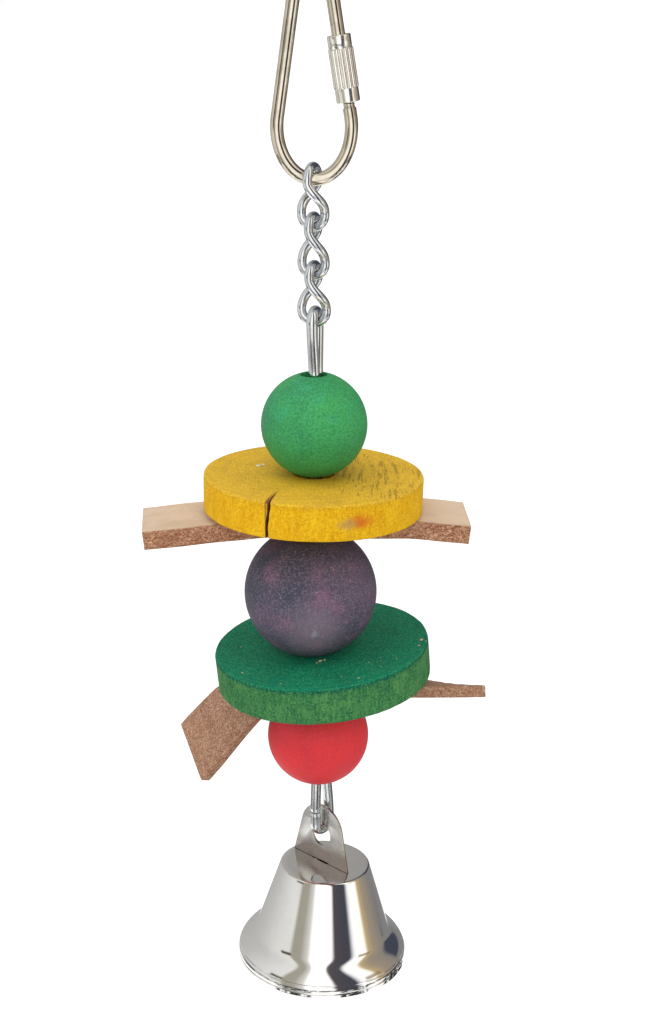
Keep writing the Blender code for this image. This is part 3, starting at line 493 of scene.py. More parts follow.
def nut():
    """Sleeve profile from the top inside edge outwards and down; flutes are hollows of |sin 7a|."""
    low, high, ease = NUT_LOWER_COLLAR, NUT_LENGTH - NUT_UPPER_COLLAR, NUT_EDGE
    profile = [(NUT_BORE, NUT_LENGTH), (NUT_BORE + ease, NUT_LENGTH),
               *arc((NUT_COLLAR - ease, NUT_LENGTH - ease), ease, 90, 0), (NUT_COLLAR, high + NUT_STEP),
               (NUT_GRIP - ease, high), *arc((NUT_GRIP - ease, high - ease), ease, 80, 0),
               *between((NUT_GRIP, high - ease), (NUT_GRIP, low + ease), 22),
               *arc((NUT_GRIP - ease, low + ease), ease, 0, -80), (NUT_COLLAR, low - NUT_STEP),
               *arc((NUT_COLLAR - ease, ease), ease, 0, -90), (NUT_BORE + ease, 0.0), (NUT_BORE, 0.0),
               *between((NUT_BORE, 0.0), (NUT_BORE, NUT_LENGTH), 6)]

    def flutes(angle, radius, height):
        """Share of the radius taken away: deepest in a flute, 0 on the ridges and off the grip."""
        inside = smooth((height - low) / ease) * smooth((high - height) / ease)
        hollow = (radius > NUT_GRIP - 0.6 * ease) * (1.0 - np.abs(np.sin(FLUTES / 2 * angle)) ** 0.7)
        return -FLUTE_DEPTH / NUT_GRIP * inside * hollow

    return turned(profile, frame_of(nut_low, leg_up), 168, flutes)


add_piece("gate_nut", nut(), "nut", nut_metal, ["quick_link_nut"], sharp=50.0, wrap=True)


# %% [markdown]
# A twisted link is a flat oval of wire whose lower half is turned a quarter turn. The oval lives in
# a plane through the link's axis, and the plane's direction is a smooth step of the height. That
# direction's normal is also what the sweep needs as its direction across the wire.

# %% Chain links
CHAIN_WIRE, CHAIN_LENGTH = 2.05 * MM, 15.0 * MM
HANGER_WIRE = 2.5 * MM
CLEARANCE, LOOP_CLEARANCE = 0.3 * MM, 0.70 * MM
CHAIN_TURN = math.atan2(axis["chain_link_3"][1], axis["chain_link_3"][0])
WIRES = (LINK_ROD, CHAIN_WIRE, CHAIN_WIRE, HANGER_WIRE)


def twisted_link(top, wire_above, wire_below):
    """Oval of two half circles joined by straight sides, turned by minus 90° times the smooth step.

    The whole chain hangs turned by CHAIN_TURN, so that its loops stand a little open to the camera.
    """
    half = (CHAIN_LENGTH - CHAIN_WIRE) / 2
    high_radius = (wire_above + CHAIN_WIRE) / 2 + LOOP_CLEARANCE
    low_radius = (wire_below + CHAIN_WIRE) / 2 + LOOP_CLEARANCE
    low, high = low_radius - half, half - high_radius
    t = np.linspace(0.0, 1.0, 50)[1:-1]
    a = np.linspace(-math.pi / 2, math.pi / 2, 48)
    width, side = low_radius + (high_radius - low_radius) * t, low + (high - low) * t
    across = np.concatenate([low_radius * np.sin(a), width, high_radius * np.sin(a[::-1]), -width[::-1]])
    height = np.concatenate([low - low_radius * np.cos(a), side,
                             high + high_radius * np.cos(a), side[::-1]])
    turn = CHAIN_TURN - math.pi / 2 * smooth((height - low) / (high - low))
    centre = np.array([pivot["chain_link_1"][0], 0.0, top - CHAIN_LENGTH / 2])
    path = centre + np.stack([across * np.cos(turn), across * np.sin(turn), height], axis=1)
    normal = np.stack([-np.sin(turn), np.cos(turn), 0 * turn], axis=1)
    return swept(path, normal, CHAIN_WIRE / 2, wrap=True)


for number in range(1, 4):
    node = f"chain_link_{number}"
    add_piece(f"twisted_link_{number}", twisted_link(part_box(node)[1][2], WIRES[number - 1], WIRES[number]),
              node, chain_metal, [node], wrap=True)


# %% [markdown]
# The hanger is a closed hairpin: an eye above, two strands through all the bores, and a bend that
# carries the bell. The middle of the pair follows the pieces' bores, and the pair itself turns
# slowly from nearly front to back at the eye to aslant at the bend. All three are functions of
# the height.

# %% Course of the hanger
STRAND_SPACING = 2.8 * MM
EYE_SPACING, EYE_NECK = 5.5 * MM, 13.0 * MM
BEND_SPACING, BEND_NECK = 4.8 * MM, 18.5 * MM
BUTT_HEIGHT, BUTT_CHAMFER = 6.6 * MM, 0.12 * MM
UP = np.array([[0.0, 0.0, 1.0]])
eye_top = pivot["hanger"][2] + HANGER_WIRE / 2
bend_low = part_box("wire_hanger")[0][2]
eye_centre = eye_top - HANGER_WIRE / 2 - EYE_SPACING / 2
bend_centre = bend_low + HANGER_WIRE / 2 + BEND_SPACING / 2
eye_turn, bend_turn = (math.atan2(*axis[body][:2]) for body in ("hanger", "bell"))
eye_x, bend_x = pivot["hanger"][0], pivot["bell"][0]
PAIR_AT = {"lower_bead": (0.1, 0.1), "green_disc": (0.1, -0.8), "middle_bead": (-1.1, -2.0),
           "yellow_disc": (-0.7, -1.1), "upper_bead": (-0.1, -0.1)}
stations = np.array([(bend_low, bend_x, 0.0), (bend_centre, bend_x, 0.0),
                     *[(pivot[body][2], x * MM, y * MM) for body, (x, y) in PAIR_AT.items()],
                     (eye_centre, eye_x, 0.0), (eye_top, eye_x, 0.0)])


def pair_middle(z):
    """Cubic through the stations whose slope at each is the mean slope about it."""
    slope = np.gradient(stations[:, 1:], stations[:, 0], axis=0)
    index = np.clip(np.searchsorted(stations[:, 0], z) - 1, 0, len(stations) - 2)
    span = (stations[index + 1, 0] - stations[index, 0])[:, None]
    t = np.clip((z[:, None] - stations[index, :1]) / span, 0.0, 1.0)
    start, stop = stations[index, 1:], stations[index + 1, 1:]
    xy = (start * (1 + 2 * t) * (1 - t) ** 2 + stop * t * t * (3 - 2 * t)
          + slope[index] * span * t * (1 - t) ** 2 - slope[index + 1] * span * t * t * (1 - t))
    return np.column_stack([xy, z])


def pair_direction(z):
    """Level direction from the front strand to the back one."""
    turn = eye_turn + (bend_turn - eye_turn) * smooth((eye_centre - z) / (eye_centre - bend_centre))
    return np.column_stack([np.sin(turn), np.cos(turn), 0 * turn])


def half_spacing(z):
    """Half the strands' spacing: it widens smoothly over the neck below the eye and above the bend."""
    eye = smooth((z - eye_centre + EYE_NECK) / EYE_NECK)
    bend = smooth((bend_centre + BEND_NECK - z) / BEND_NECK)
    return ((STRAND_SPACING + (EYE_SPACING - STRAND_SPACING) * eye
             + (BEND_SPACING - STRAND_SPACING) * bend) / 2)[:, None]


# %% [markdown]
# The wire is one path: the front strand, the bend, the back strand and the eye. It starts and ends
# at the butt joint, which shows above the bend on the front strand.

# %% Hanger wire
def half_ring(height, spacing):
    """Half circle from one strand to the other: over the top where the spacing is positive."""
    a = np.linspace(0.0, math.pi, 40)[1:-1, None]
    level = np.array([height])
    return (pair_middle(level) + pair_direction(level) * spacing / 2 * np.cos(a)
            + UP * spacing / 2 * np.sin(a))


def hanger():
    """Front strand down from the joint, half circle, back strand up, half circle, front strand down."""
    butt = bend_low + BUTT_HEIGHT
    z = np.linspace(bend_centre, eye_centre, 260)
    middle, reach = pair_middle(z), pair_direction(z) * half_spacing(z)
    front, back = middle - reach, middle + reach
    path = np.concatenate([front[z <= butt][::-1], half_ring(bend_centre, -BEND_SPACING), back,
                           half_ring(eye_centre, EYE_SPACING), front[z > butt + CLEARANCE][::-1]])
    radius = np.full(len(path), HANGER_WIRE / 2)
    radius[[0, -1]] -= BUTT_CHAMFER
    return swept(path, np.cross(pair_direction(path[:, 2]), UP), radius, 28)


add_piece("hairpin_wire", hanger(), "hanger", hanger_metal, ["wire_hanger"], sharp=60.0)


# %% [markdown]
# Dyed wood: the stain soaks in unevenly, so the colour drifts over the ball, pools in the end
# grain and lets pale pores through. The grain is a noise drawn out along the bore, and the colour
# drift is a broad noise. Every ball has the same build with its own colours.

# %% Dyed ball finish
PORE_COLOUR, PAINTED_HIGHLIGHT_COLOUR = (0.62, 0.56, 0.50), (0.42, 0.40, 0.42)


def dyed_ball(name, origin, deep, middle, pale, blotch, speck, dusty, painted_highlight_at=None):
    """Satin stain on turned wood. Deep and pale follow the grain, blotch is the broad drift.

    Dusty is how mottled the stain is. The place given last, from the middle, gets a painted highlight.
    """
    finish = Finish(name)
    where = finish.place(origin)
    grain = finish.noise(finish.place(origin, (0.08, -0.05, 0.0), (1.0, 1.0, 0.16)), 1500.0, 5.0, 0.6, 0.3)
    drift = finish.noise(where, 62.0, 2.0, 0.5)
    cloud = finish.noise(where, 190.0, 4.0, 0.6)
    dust = finish.noise(where, 2200.0, 2.0, 0.8)
    pores = finish.spots(where, 2100.0, 0.30, 0.04)
    tone = finish.mix(drift.step(0.34, 0.66), deep, middle)
    tone = finish.over(tone, (cloud.step(0.50, 0.74) * 0.75, blotch),
                       (grain.step(0.52, 0.80) * 0.45, pale), (dust.step(0.50, 0.64) * dusty, pale),
                       (dust.step(0.50, 0.36) * dusty, shaded(deep, 0.7)), (pores * speck, PORE_COLOUR))
    # Painted highlight: a broad pale patch with a grey core at the given place on the ball's front.
    if painted_highlight_at is not None:
        far = finish.length(finish.place(origin + np.array(painted_highlight_at) * MM)) + (cloud - 0.5) * 9.0 * MM
        tone = finish.over(tone, (far.step(11.0 * MM, 2.0 * MM) * 0.42, pale),
                           (far.step(2.0 * MM, 0.0) * 0.60, PAINTED_HIGHLIGHT_COLOUR))
    finish.bump(grain * 0.5 + dust * 0.35 - pores * 0.6, 0.035 * MM)
    return finish.set(Base_Color=tone, Roughness=0.48 + dust * 0.20, Specular_IOR_Level=0.30)


green_stain = dyed_ball("green_stain", pivot["upper_bead"], (0.026, 0.240, 0.092), (0.042, 0.335, 0.085),
                        (0.060, 0.430, 0.140), (0.030, 0.330, 0.150), 0.15, 0.60)
# The purple ball's last value places its painted highlight, low on its front.
purple_stain = dyed_ball("purple_stain", pivot["middle_bead"], (0.046, 0.050, 0.080), (0.110, 0.078, 0.126),
                         (0.270, 0.205, 0.255), (0.215, 0.104, 0.170), 0.60, 0.42, (0.7, -13.6, -5.0))
red_stain = dyed_ball("red_stain", pivot["lower_bead"], (0.640, 0.030, 0.042), (0.810, 0.032, 0.040),
                      (0.840, 0.090, 0.095), (0.720, 0.030, 0.050), 0.10, 0.16)
print("stains:", green_stain.name, purple_stain.name, red_stain.name)


# %% [markdown]
# A ball is a circle cut by the flat poles where the bore breaks out. The drill leaves a slightly
# eased edge there, so the profile rounds the corner before it goes down the bore.

# %% Balls
SMALL_BALL, SMALL_BORE, SMALL_RIM = 24.1 * MM, 6.8 * MM, 4.2 * MM
LARGE_BALL, LARGE_BORE, LARGE_RIM = 30.6 * MM, 10.0 * MM, 6.3 * MM
TOP_BORE, TOP_RIM = 6.0 * MM, 3.2 * MM
BORE_EDGE = 0.5 * MM


def ball(name, body, diameter, bore, top_rim, rim, finish):
    """Arc from one pole's flat to the other, flat, eased corner, and the bore back up."""
    radius, inside = diameter / 2, bore / 2
    ease = min(BORE_EDGE, top_rim - inside)
    high, low = math.sqrt(radius ** 2 - top_rim ** 2), math.sqrt(radius ** 2 - rim ** 2)
    above, below = (math.degrees(math.acos(flat / radius)) for flat in (top_rim, rim))
    profile = [*arc((inside + ease, high - ease), ease, 180, 90, 6),
               *arc((0.0, 0.0), radius, above, -below, 72),
               *arc((inside + ease, -low + ease), ease, 270, 180, 6),
               *between((inside, -low + ease), (inside, high - ease), 10)]
    grid = turned(profile, frame_of(pivot[body], axis[body]), 128)
    add_piece(name, grid, body, finish, [body], wrap=True)


ball("green_ball", "upper_bead", SMALL_BALL, TOP_BORE, TOP_RIM, SMALL_RIM, green_stain)
ball("purple_ball", "middle_bead", LARGE_BALL, LARGE_BORE, LARGE_RIM, LARGE_RIM, purple_stain)
ball("red_ball", "lower_bead", SMALL_BALL, SMALL_BORE, SMALL_RIM, SMALL_RIM, red_stain)


# %% [markdown]
# Cutting one solid out of another is still a Boolean's job. The result replaces the piece's mesh at
# once, so that no cutter stays in the scene.

# %% Cutting
def final_mesh(thing):
    """The object's mesh after its modifiers, without materials. The object is removed."""
    bpy.context.view_layer.update()
    mesh = bpy.data.meshes.new_from_object(thing.evaluated_get(bpy.context.evaluated_depsgraph_get()))
    mesh.materials.clear()
    bpy.data.objects.remove(thing, do_unlink=True)
    return mesh


def carve(mesh, cutter):
    """The mesh less the cutter, both meshes in place."""
    target, tool = add_object("target", mesh), add_object("tool", cutter)
    modifier = target.modifiers.new("cut", "BOOLEAN")
    modifier.operation, modifier.solver, modifier.object = "DIFFERENCE", "EXACT", tool
    result = final_mesh(target)
    bpy.data.objects.remove(tool, do_unlink=True)
    return result


# %% [markdown]
# The slices are sawn across a branch, so their faces are end grain: rings round an off-centre
# pith, crossed by the saw's marks. Their rims are the peeled outside, where the grain runs up and
# down. The dye takes darker on end grain. A mask from the height tells face from rim.

# %% Sawn wood finish
PITH = np.array([-4.0, 3.0, 0.0]) * MM
RING_RADIANS_A_METRE, CRUMB_COLOUR = 2600.0, (0.60, 0.48, 0.28)


def sawn_slice(name, place, thickness, face, face_dark, rim, rim_pale, rim_dark, crumbs, teeth, dye_bleed_and_edge_shade):
    """End grain on the faces and long grain on the rim, in the slice's own frame.

    Teeth is how far the saw tore the face, bleed how far the face's dye ran down the rim and how
    dark the painted shade along the eased top edge is. Returns the finish and its colour so far, so
    that a knot can be added.
    """
    centre, turn = place
    lean = (math.atan2(turn[1, 2], turn[2, 2]), -math.asin(turn[0, 2]), 0.0)
    finish = Finish(name)
    where = finish.place(centre, lean)
    height = finish.part(where, 2)
    flat = finish.place(centre + PITH, lean, (1.0, 1.0, 0.0))
    wobble = finish.noise(flat, 90.0, 2.0) * 3.0 * MM
    rings = wobble.math("SINE", (finish.length(flat) + wobble) * RING_RADIANS_A_METRE)
    saw = finish.noise(finish.place(centre, (0.0, 0.0, 0.25), (0.16, 1.0, 0.2)), 1500.0, 4.0, 0.65, 0.2)
    tick = finish.noise(finish.place(centre, (0.0, 0.0, -0.22), (1.0, 0.10, 0.2)), 1700.0, 2.0, 0.6, 0.2)
    region = finish.noise(flat, 75.0, 2.0).step(0.40, 0.52) * finish.part(where, 0).step(0.0, 8.0 * MM)
    fine = finish.noise(where, 2300.0, 2.0, 0.8)
    cloud = finish.noise(where, 130.0, 4.0, 0.65)
    long = finish.noise(finish.place(centre, lean, (1.0, 1.0, 0.14)), 1500.0, 5.0, 0.7, 0.5)
    patch = finish.noise(finish.place(centre, lean, (1.0, 1.0, 0.7)), 260.0, 5.0, 0.65)
    soaked = height + (long - 0.5) * dye_bleed_and_edge_shade * 2.4
    on_face = (soaked.step(thickness - 0.45 * MM - dye_bleed_and_edge_shade, thickness - 0.15 * MM)
               + height.step(0.30 * MM, 0.05 * MM))
    torn = tick.step(0.54, 0.63) * region * teeth
    end = finish.mix((rings * 0.5 + 0.5) * 0.25 + cloud.step(0.44, 0.66) * 0.45, face, face_dark)
    end = finish.over(end, (saw.step(0.55, 0.75) * 0.40, face_dark), (torn * 0.55, shaded(face_dark, 0.35)))
    side = finish.over(rim, (patch.step(0.42, 0.62) * 0.7, rim_pale),
                       (long.step(0.48, 0.34) * 0.6, shaded(rim_pale, 1.2)),
                       (long.step(0.50, 0.72) * 0.65, rim_dark))
    # Painted shade: a dark band along the eased top edge dims the light that edge catches, over the dye's
    # bleed.
    edge = height.band(*[thickness - below * MM for below in (1.5, 0.5, 0.3, 0.02)])
    dents = finish.mix(on_face, shaded(rim_dark, 0.8), shaded(face_dark, 0.5))
    tone = finish.over(finish.mix(on_face, side, end),
                       (edge * (0.15 + long) * dye_bleed_and_edge_shade / MM, shaded(face_dark, 0.4)),
                       (fine.step(0.50, 0.66) * 0.45, shaded(rim_pale, 1.5)),
                       (fine.step(0.50, 0.34) * 0.50, dents),
                       (finish.spots(where, 1100.0, 0.25, crumbs) * 0.9, CRUMB_COLOUR))
    finish.bump((1.0 - on_face) * long * 0.8 + on_face * (saw * 0.7 - torn * 0.9) + fine * 0.5, 0.12 * MM)
    finish.set(Roughness=0.66 + fine * 0.2, Specular_IOR_Level=0.12)
    return finish, tone


# %% [markdown]
# A slice is a low turned solid whose outline is a little out of round, as a branch is.

# %% Slices
SLICE, SLICE_BORE, SLICE_EDGE = 50.2 * MM, 9.6 * MM, 0.45 * MM
YELLOW_THICKNESS, GREEN_THICKNESS = 8.2 * MM, 8.6 * MM


def slice_mesh(name, place, thickness, phase):
    """Profile with eased edges, r swelled by small sines of the angle and a fine sawn waviness."""
    radius, ease, inner = SLICE / 2, SLICE_EDGE, SLICE_BORE / 2
    profile = [(inner, thickness), *between((inner, thickness), (radius - ease, thickness), 26),
               *arc((radius - ease, thickness - ease), ease, 90, 0, 6),
               *between((radius, thickness - ease), (radius, ease), 14),
               *arc((radius - ease, ease), ease, 0, -90, 6),
               *between((radius - ease, 0.0), (inner, 0.0), 12), (inner, 0.0),
               *between((inner, 0.0), (inner, thickness), 4)]

    def out_of_round(angle, r, z):
        outer = smooth((r - inner) / (radius - inner))
        bark = 0.0012 * np.sin(17 * angle + 3.0 * z / thickness) + 0.0008 * np.sin(41 * angle + phase)
        return outer * (0.003 * np.sin(2 * angle + phase) + 0.0018 * np.sin(5 * angle - phase) + bark)

    return closed_mesh(name, turned(profile, place, 256, out_of_round), True)


yellow_place = frame_of(pivot["yellow_disc"], axis["yellow_disc"])
green_place = frame_of(pivot["green_disc"], axis["green_disc"])
print("the slices are", round(SLICE / MM, 1), "mm across")


# %% [markdown]
# The drying crack in the yellow slice is a wedge cut in from the rim, with a wandering tip that
# gets thinner. It is a real cut, because its dark walls show from the side.

# %% Drying crack
CRACK_START, CRACK_HEADING = np.array([-9.85, -23.3]) * MM, math.radians(77.0)
CRACK_LENGTH, CRACK_WIDTH, CRACK_WANDER = 10.5 * MM, 0.72 * MM, 0.22 * MM


def crack_tool(place, thickness):
    """A blade from outside the rim to the tip, with sides that waver with height and distance.

    Half its width is full at the rim, falls fast behind it, then goes as the root of the way left.
    """
    way = np.linspace(-2.0 * MM, CRACK_LENGTH, 40)[:, None]
    z = np.linspace(-1.0 * MM, thickness + 1.0 * MM, 24)[None, :]
    inward = np.clip(way / CRACK_LENGTH, 0.0, 1.0)
    waver = 1.0 + 0.16 * np.sin(z * 1900.0 + way * 900.0)
    half = CRACK_WIDTH / 2 * (0.55 + 0.45 * np.exp(-9.0 * inward)) * waver
    half = half * np.sqrt(np.clip(1.0 - inward, 0.004, 1.0))
    wander = CRACK_WANDER * np.sin(inward * 5.0 + z * 600.0)
    along = np.array([math.cos(CRACK_HEADING), math.sin(CRACK_HEADING)])
    edges = [np.stack([CRACK_START[0] + way * along[0] - side * along[1],
                       CRACK_START[1] + way * along[1] + side * along[0], z + 0 * side], axis=-1)
             for side in (wander + half, wander - half)]
    middle = (edges[0] + edges[1]) / 2
    loop = np.concatenate([edges[0], edges[1][::-1]], axis=0)
    ends = np.concatenate([middle, middle[::-1]], axis=0)
    capped = np.concatenate([ends[:, :1], loop, ends[:, -1:]], axis=1)
    return closed_mesh("crack_tool", placed(capped, place), True, False)


yellow_mesh = carve(slice_mesh("yellow_slice", yellow_place, YELLOW_THICKNESS, 0.4),
                    crack_tool(yellow_place, YELLOW_THICKNESS))
print("the crack leaves", len(yellow_mesh.polygons), "faces on the yellow slice")


# %% [markdown]
# The knot is a grey-brown eye beside a lopsided orange stain on the rim. The crack's walls are
# painted dark brown: painted shade for the deep, narrow slit. Both are masks of a distance: from
# the knot's middle, and from the crack's line.

# %% Knot and crack colours
KNOT, KNOT_STAIN = np.array([7.1, -24.1, -114.2]) * MM, np.array([3.3, 1.0, 0.3]) * MM
STAIN_COLOUR, KNOT_COLOUR = (0.640, 0.130, 0.010), (0.430, 0.260, 0.100)
CRACK_SHADE_COLOUR = (0.230, 0.095, 0.030)


def add_knot(finish, tone):
    """Stain and eye by distance from their middles, with a noise added so that the edge is ragged."""
    ragged = (finish.noise(finish.place(), 420.0, 4.0, 0.65) - 0.5) * 3.2 * MM
    spread = finish.length(finish.place(KNOT + KNOT_STAIN, stretch=(0.9, 1.0, 1.3))) + ragged
    far = finish.length(finish.place(KNOT, stretch=(0.55, 1.0, 1.15))) + ragged
    return finish.over(tone, (spread.step(3.6 * MM, 0.8 * MM) * 0.92, STAIN_COLOUR),
                       (far.step(2.2 * MM, 0.3 * MM) * 0.75, KNOT_COLOUR))


def add_crack_shade(finish, tone, place):
    """Dark brown painted shade where the distance across the crack's line is under half its width: its
    walls.
    """
    where = finish.place(placed(np.append(CRACK_START, 0.0), place), (0.0, 0.0, -CRACK_HEADING))
    across = finish.part(where, 1)
    near = across.math("ABSOLUTE", across).step(0.62 * MM, 0.46 * MM)
    inside = finish.part(where, 0).band(0.12 * MM, 0.35 * MM, CRACK_LENGTH * 0.1, CRACK_LENGTH)
    # Painted shade: the walls are darkened as a deep, narrow slit is.
    return finish.mix(inside * near, tone, CRACK_SHADE_COLOUR)


yellow_finish, tone = sawn_slice(
    "yellow_sawn_wood", yellow_place, YELLOW_THICKNESS, (0.770, 0.445, 0.030), (0.570, 0.320, 0.030),
    (0.780, 0.395, 0.003), (0.850, 0.490, 0.012), (0.600, 0.270, 0.004), 0.012, 1.0, 0.2 * MM)
tone = add_crack_shade(yellow_finish, add_knot(yellow_finish, tone), yellow_place)
yellow_wood = yellow_finish.set(Base_Color=tone)
green_finish, tone = sawn_slice(
    "green_sawn_wood", green_place, GREEN_THICKNESS, (0.001, 0.225, 0.118), (0.001, 0.140, 0.078),
    (0.034, 0.170, 0.056), (0.086, 0.270, 0.078), (0.005, 0.064, 0.040), 0.02, 0.0, 0.9 * MM)
green_wood = green_finish.set(Base_Color=tone)
add_piece("yellow_slice", yellow_mesh, "yellow_disc", yellow_wood, ["yellow_disc"])
add_piece("green_slice", slice_mesh("green_slice", green_place, GREEN_THICKNESS, 2.1), "green_disc",
          green_wood, ["green_disc"])


# %% [markdown]
# A few wood chips still cling to the sawn faces. Each is a flat ellipsoid that is sunk a little
# into the face, and all the chips of a slice are one mesh.

# %% Wood chips
CHIP_WIDTH, CHIP_DEPTH, CHIP_RISE = 0.28, 0.16, 0.08


def chips(name, body, place, thickness, spots, finish):
    """Ellipsoids (a cos u sin v, b sin u sin v, c cos v) at (x, y, heading, length) on the top face."""
    normal = place[1][:, 2]
    top = place[0] + normal * thickness
    unit_ball = turned(arc((0.0, 0.0), 1.0, 90, -90, 9), LEVEL, 14)
    grids = []
    for x, y, heading, length in np.array(spots) * (MM, MM, 1.0, MM):
        z = top[2] - (normal[0] * (x - top[0]) + normal[1] * (y - top[1])) / normal[2]
        seat = frame_of((x, y, z), normal, (math.cos(heading), math.sin(heading), 0.0))
        chip = unit_ball * (0.5, CHIP_WIDTH, CHIP_DEPTH) + (0.0, 0.0, CHIP_RISE)
        grids.append(placed(chip * length, seat))
    add_piece(name, grids, body, finish, [])


def chip_wood(name, pale, brown):
    finish = Finish(name, Roughness=0.8)
    grain = finish.noise(finish.place(), 2600.0, 3.0)
    return finish.set(Base_Color=finish.mix(grain.step(0.4, 0.65), pale, brown))


chips("yellow_chips", "yellow_disc", yellow_place, YELLOW_THICKNESS,
      [(-13.5, 5.2, 0.6, 1.5), (-12.5, 6.3, 1.9, 1.1)],
      chip_wood("white_chips", (0.90, 0.86, 0.78), (0.70, 0.60, 0.45)))
chips("green_chips", "green_disc", green_place, GREEN_THICKNESS,
      [(0.3, -9.6, 0.4, 1.1), (1.3, -9.2, 1.5, 0.9), (-0.5, -10.4, 2.3, 0.6), (24.0, -2.6, 1.1, 1.2),
       (23.3, -5.6, 0.2, 0.7), (-17.5, -12.5, 0.7, 0.6), (9.0, -20.0, 2.6, 0.6)],
      chip_wood("brown_chips", (0.70, 0.52, 0.36), (0.45, 0.22, 0.12)))


# %% [markdown]
# Strap leather is cut from a thick hide. The grain side of the upper strap is smooth and pale with
# faint wrinkles, and its cut edges show red-brown fibres that stand out a little. The lower strap
# is split suede, the same fibre all over. A mark on the mesh says where the grain side is.

# %% Leather finishes
GRAIN, GRAIN_DARK = (0.690, 0.530, 0.385), (0.610, 0.455, 0.320)


def leather(name, origin, fibre, fibre_pale, fibre_dark):
    """Grain where the mark is 1, fibre where it is 0."""
    finish = Finish(name)
    where = finish.place(origin)
    grain_side = finish.node("ShaderNodeAttribute", {"attribute_name": "grain_side"}, output="Fac")
    cloud = finish.noise(where, 150.0, 4.0, 0.6)
    wrinkle = finish.noise(finish.place(origin, (0.0, 0.0, 0.2), (0.5, 1.0, 1.0)), 900.0, 4.0, 0.6, 0.5)
    hair = finish.noise(finish.place(origin, (0.0, 0.2, 0.0), (0.55, 1.0, 1.0)), 1700.0, 4.0, 0.8, 1.2)
    fine = finish.noise(where, 2600.0, 2.0, 0.8)
    drift = finish.noise(where, 240.0, 3.0, 0.6)
    pores = finish.spots(where, 1900.0, 0.25, 0.30)
    smooth_side = finish.over(GRAIN, (cloud.step(0.40, 0.66), GRAIN_DARK),
                              (pores * 0.45 + wrinkle.step(0.56, 0.74) * 0.30, fibre_pale),
                              (fine.step(0.60, 0.78) * 0.30, fibre))
    rough_side = finish.over(fibre_dark, (hair.step(0.36, 0.52), fibre),
                             (hair.step(0.52, 0.62) * 0.85, fibre_pale),
                             (fine.step(0.52, 0.64) * 0.60, fibre_pale),
                             (fine.step(0.48, 0.36) * 0.60, fibre_dark),
                             (drift.step(0.44, 0.66) * 0.30, fibre_dark))
    finish.bump(grain_side * (wrinkle * 0.30 - pores * 0.3)
                + (1.0 - grain_side) * (hair * 1.2 + fine * 0.8), 0.26 * MM)
    return finish.set(Base_Color=finish.mix(grain_side, rough_side, smooth_side), Specular_IOR_Level=0.15,
                      Roughness=0.92 - grain_side * (0.28 - fine * 0.15))


# %% [markdown]
# Each strap is a ribbon with a thick section, whose edges are rounded a little by the knife and by
# handling. The mark for the grain side is worked out with it.

# %% Strap section
EDGE_ROUND = 0.35 * MM


def section(width, thickness):
    """Points round the strap's section as (across, depth), and 1 for each on the grain side."""
    half, e = width / 2, EDGE_ROUND
    top = [(x, 0.0) for x in np.linspace(-half + e, half - e, 30)]
    right = arc((half - e, e), e, math.degrees(0.25) - 90, 0, 4)
    down = [(half, d) for d in np.linspace(e, thickness - e, 12)[1:-1]]
    low = arc((half - e, thickness - e), e, 0, 90, 4)
    under = [(x, thickness) for x in np.linspace(half - e, -half + e, 30)[1:-1]]
    left = [(-x, d) for x, d in [*low[::-1], *down[::-1], *right[::-1]]]
    loop = np.array([*top, *right, *down, *low, *under, *left])
    return loop, np.clip(1.0 - loop[:, 1] / (0.5 * e), 0.0, 1.0)


# %% [markdown]
# The upper face follows a bending rule of the distance along and across. The other faces lie under
# it by a depth along its normal, which comes from two small steps on that rule, and a seeded
# unevenness roughens the cut edges. The ends are closed by rows that draw in.

# %% Strap surface
STRAP_HOLE = 4.8 * MM
END_BULGE, FUZZ, NUDGE = 0.25 * MM, 0.085 * MM, 0.05 * MM
STRAP_ROWS, END_ROWS = 240, 5


def strap_mesh(name, place, start, stop, width, thickness, bend, seed, grain_side=1.0):
    """Upper face bend(along, across); a point of depth d lies under it by d along its normal.

    start(across) and stop(across) are the ends, so that an end can be cut askew. The wire's hole
    is punched last.
    """
    loop, grain = section(width, thickness)
    rows, ease = np.linspace(0.0, 1.0, STRAP_ROWS), np.linspace(0.0, 0.97, END_ROWS)
    bow = np.linspace(END_BULGE, END_BULGE / 5, END_ROWS)
    share = np.concatenate([0 * ease, rows, 0 * ease + 1.0])[:, None]
    draw = np.concatenate([ease, np.ones(STRAP_ROWS), ease[::-1]])[:, None]
    bulge = np.concatenate([-bow, 0 * rows, bow[::-1]])[:, None]
    across = loop[None, :, 0] * draw
    depth = thickness / 2 + (loop[None, :, 1] - thickness / 2) * draw
    along = start(across) + (stop(across) - start(across)) * share + bulge
    normal = unit(np.cross(bend(along + NUDGE, across) - bend(along - NUDGE, across),
                           bend(along, across + NUDGE) - bend(along, across - NUDGE)))
    rough = np.random.default_rng(seed).normal(size=along.shape)
    for _ in range(2):
        rough = (rough + np.roll(rough, 1, 0) + np.roll(rough, -1, 0) + np.roll(rough, 1, 1)) / 2.6
    fuzz = (1.0 - grain[None, :] * grain_side) * np.clip(rough, -1.5, 2.5) * FUZZ
    on_edge = np.sign(across) * (np.abs(across) > width / 2 - EDGE_ROUND * 1.2)
    push = np.stack([0 * along, on_edge, 0 * along], axis=-1) + normal * 0.3
    points = bend(along, across) - normal * depth[..., None] + push * fuzz[..., None]
    points[..., 2] += thickness
    marks = {"grain_side": (grain[None, :] * (draw > 0.99)) * grain_side}
    high, low = thickness * 3, -thickness * 2
    hole = [(0.0, high), (STRAP_HOLE, high), (STRAP_HOLE, low), (0.0, low)]
    return carve(closed_mesh(name, placed(points, place), marks=marks),
                 closed_mesh("punch", turned(hole, place, 40)))


# %% [markdown]
# The upper strap is stiff. Both ends droop a little: straight at first, then an arc, then straight
# again at the angle it has turned through. It lies slightly askew under the slice.

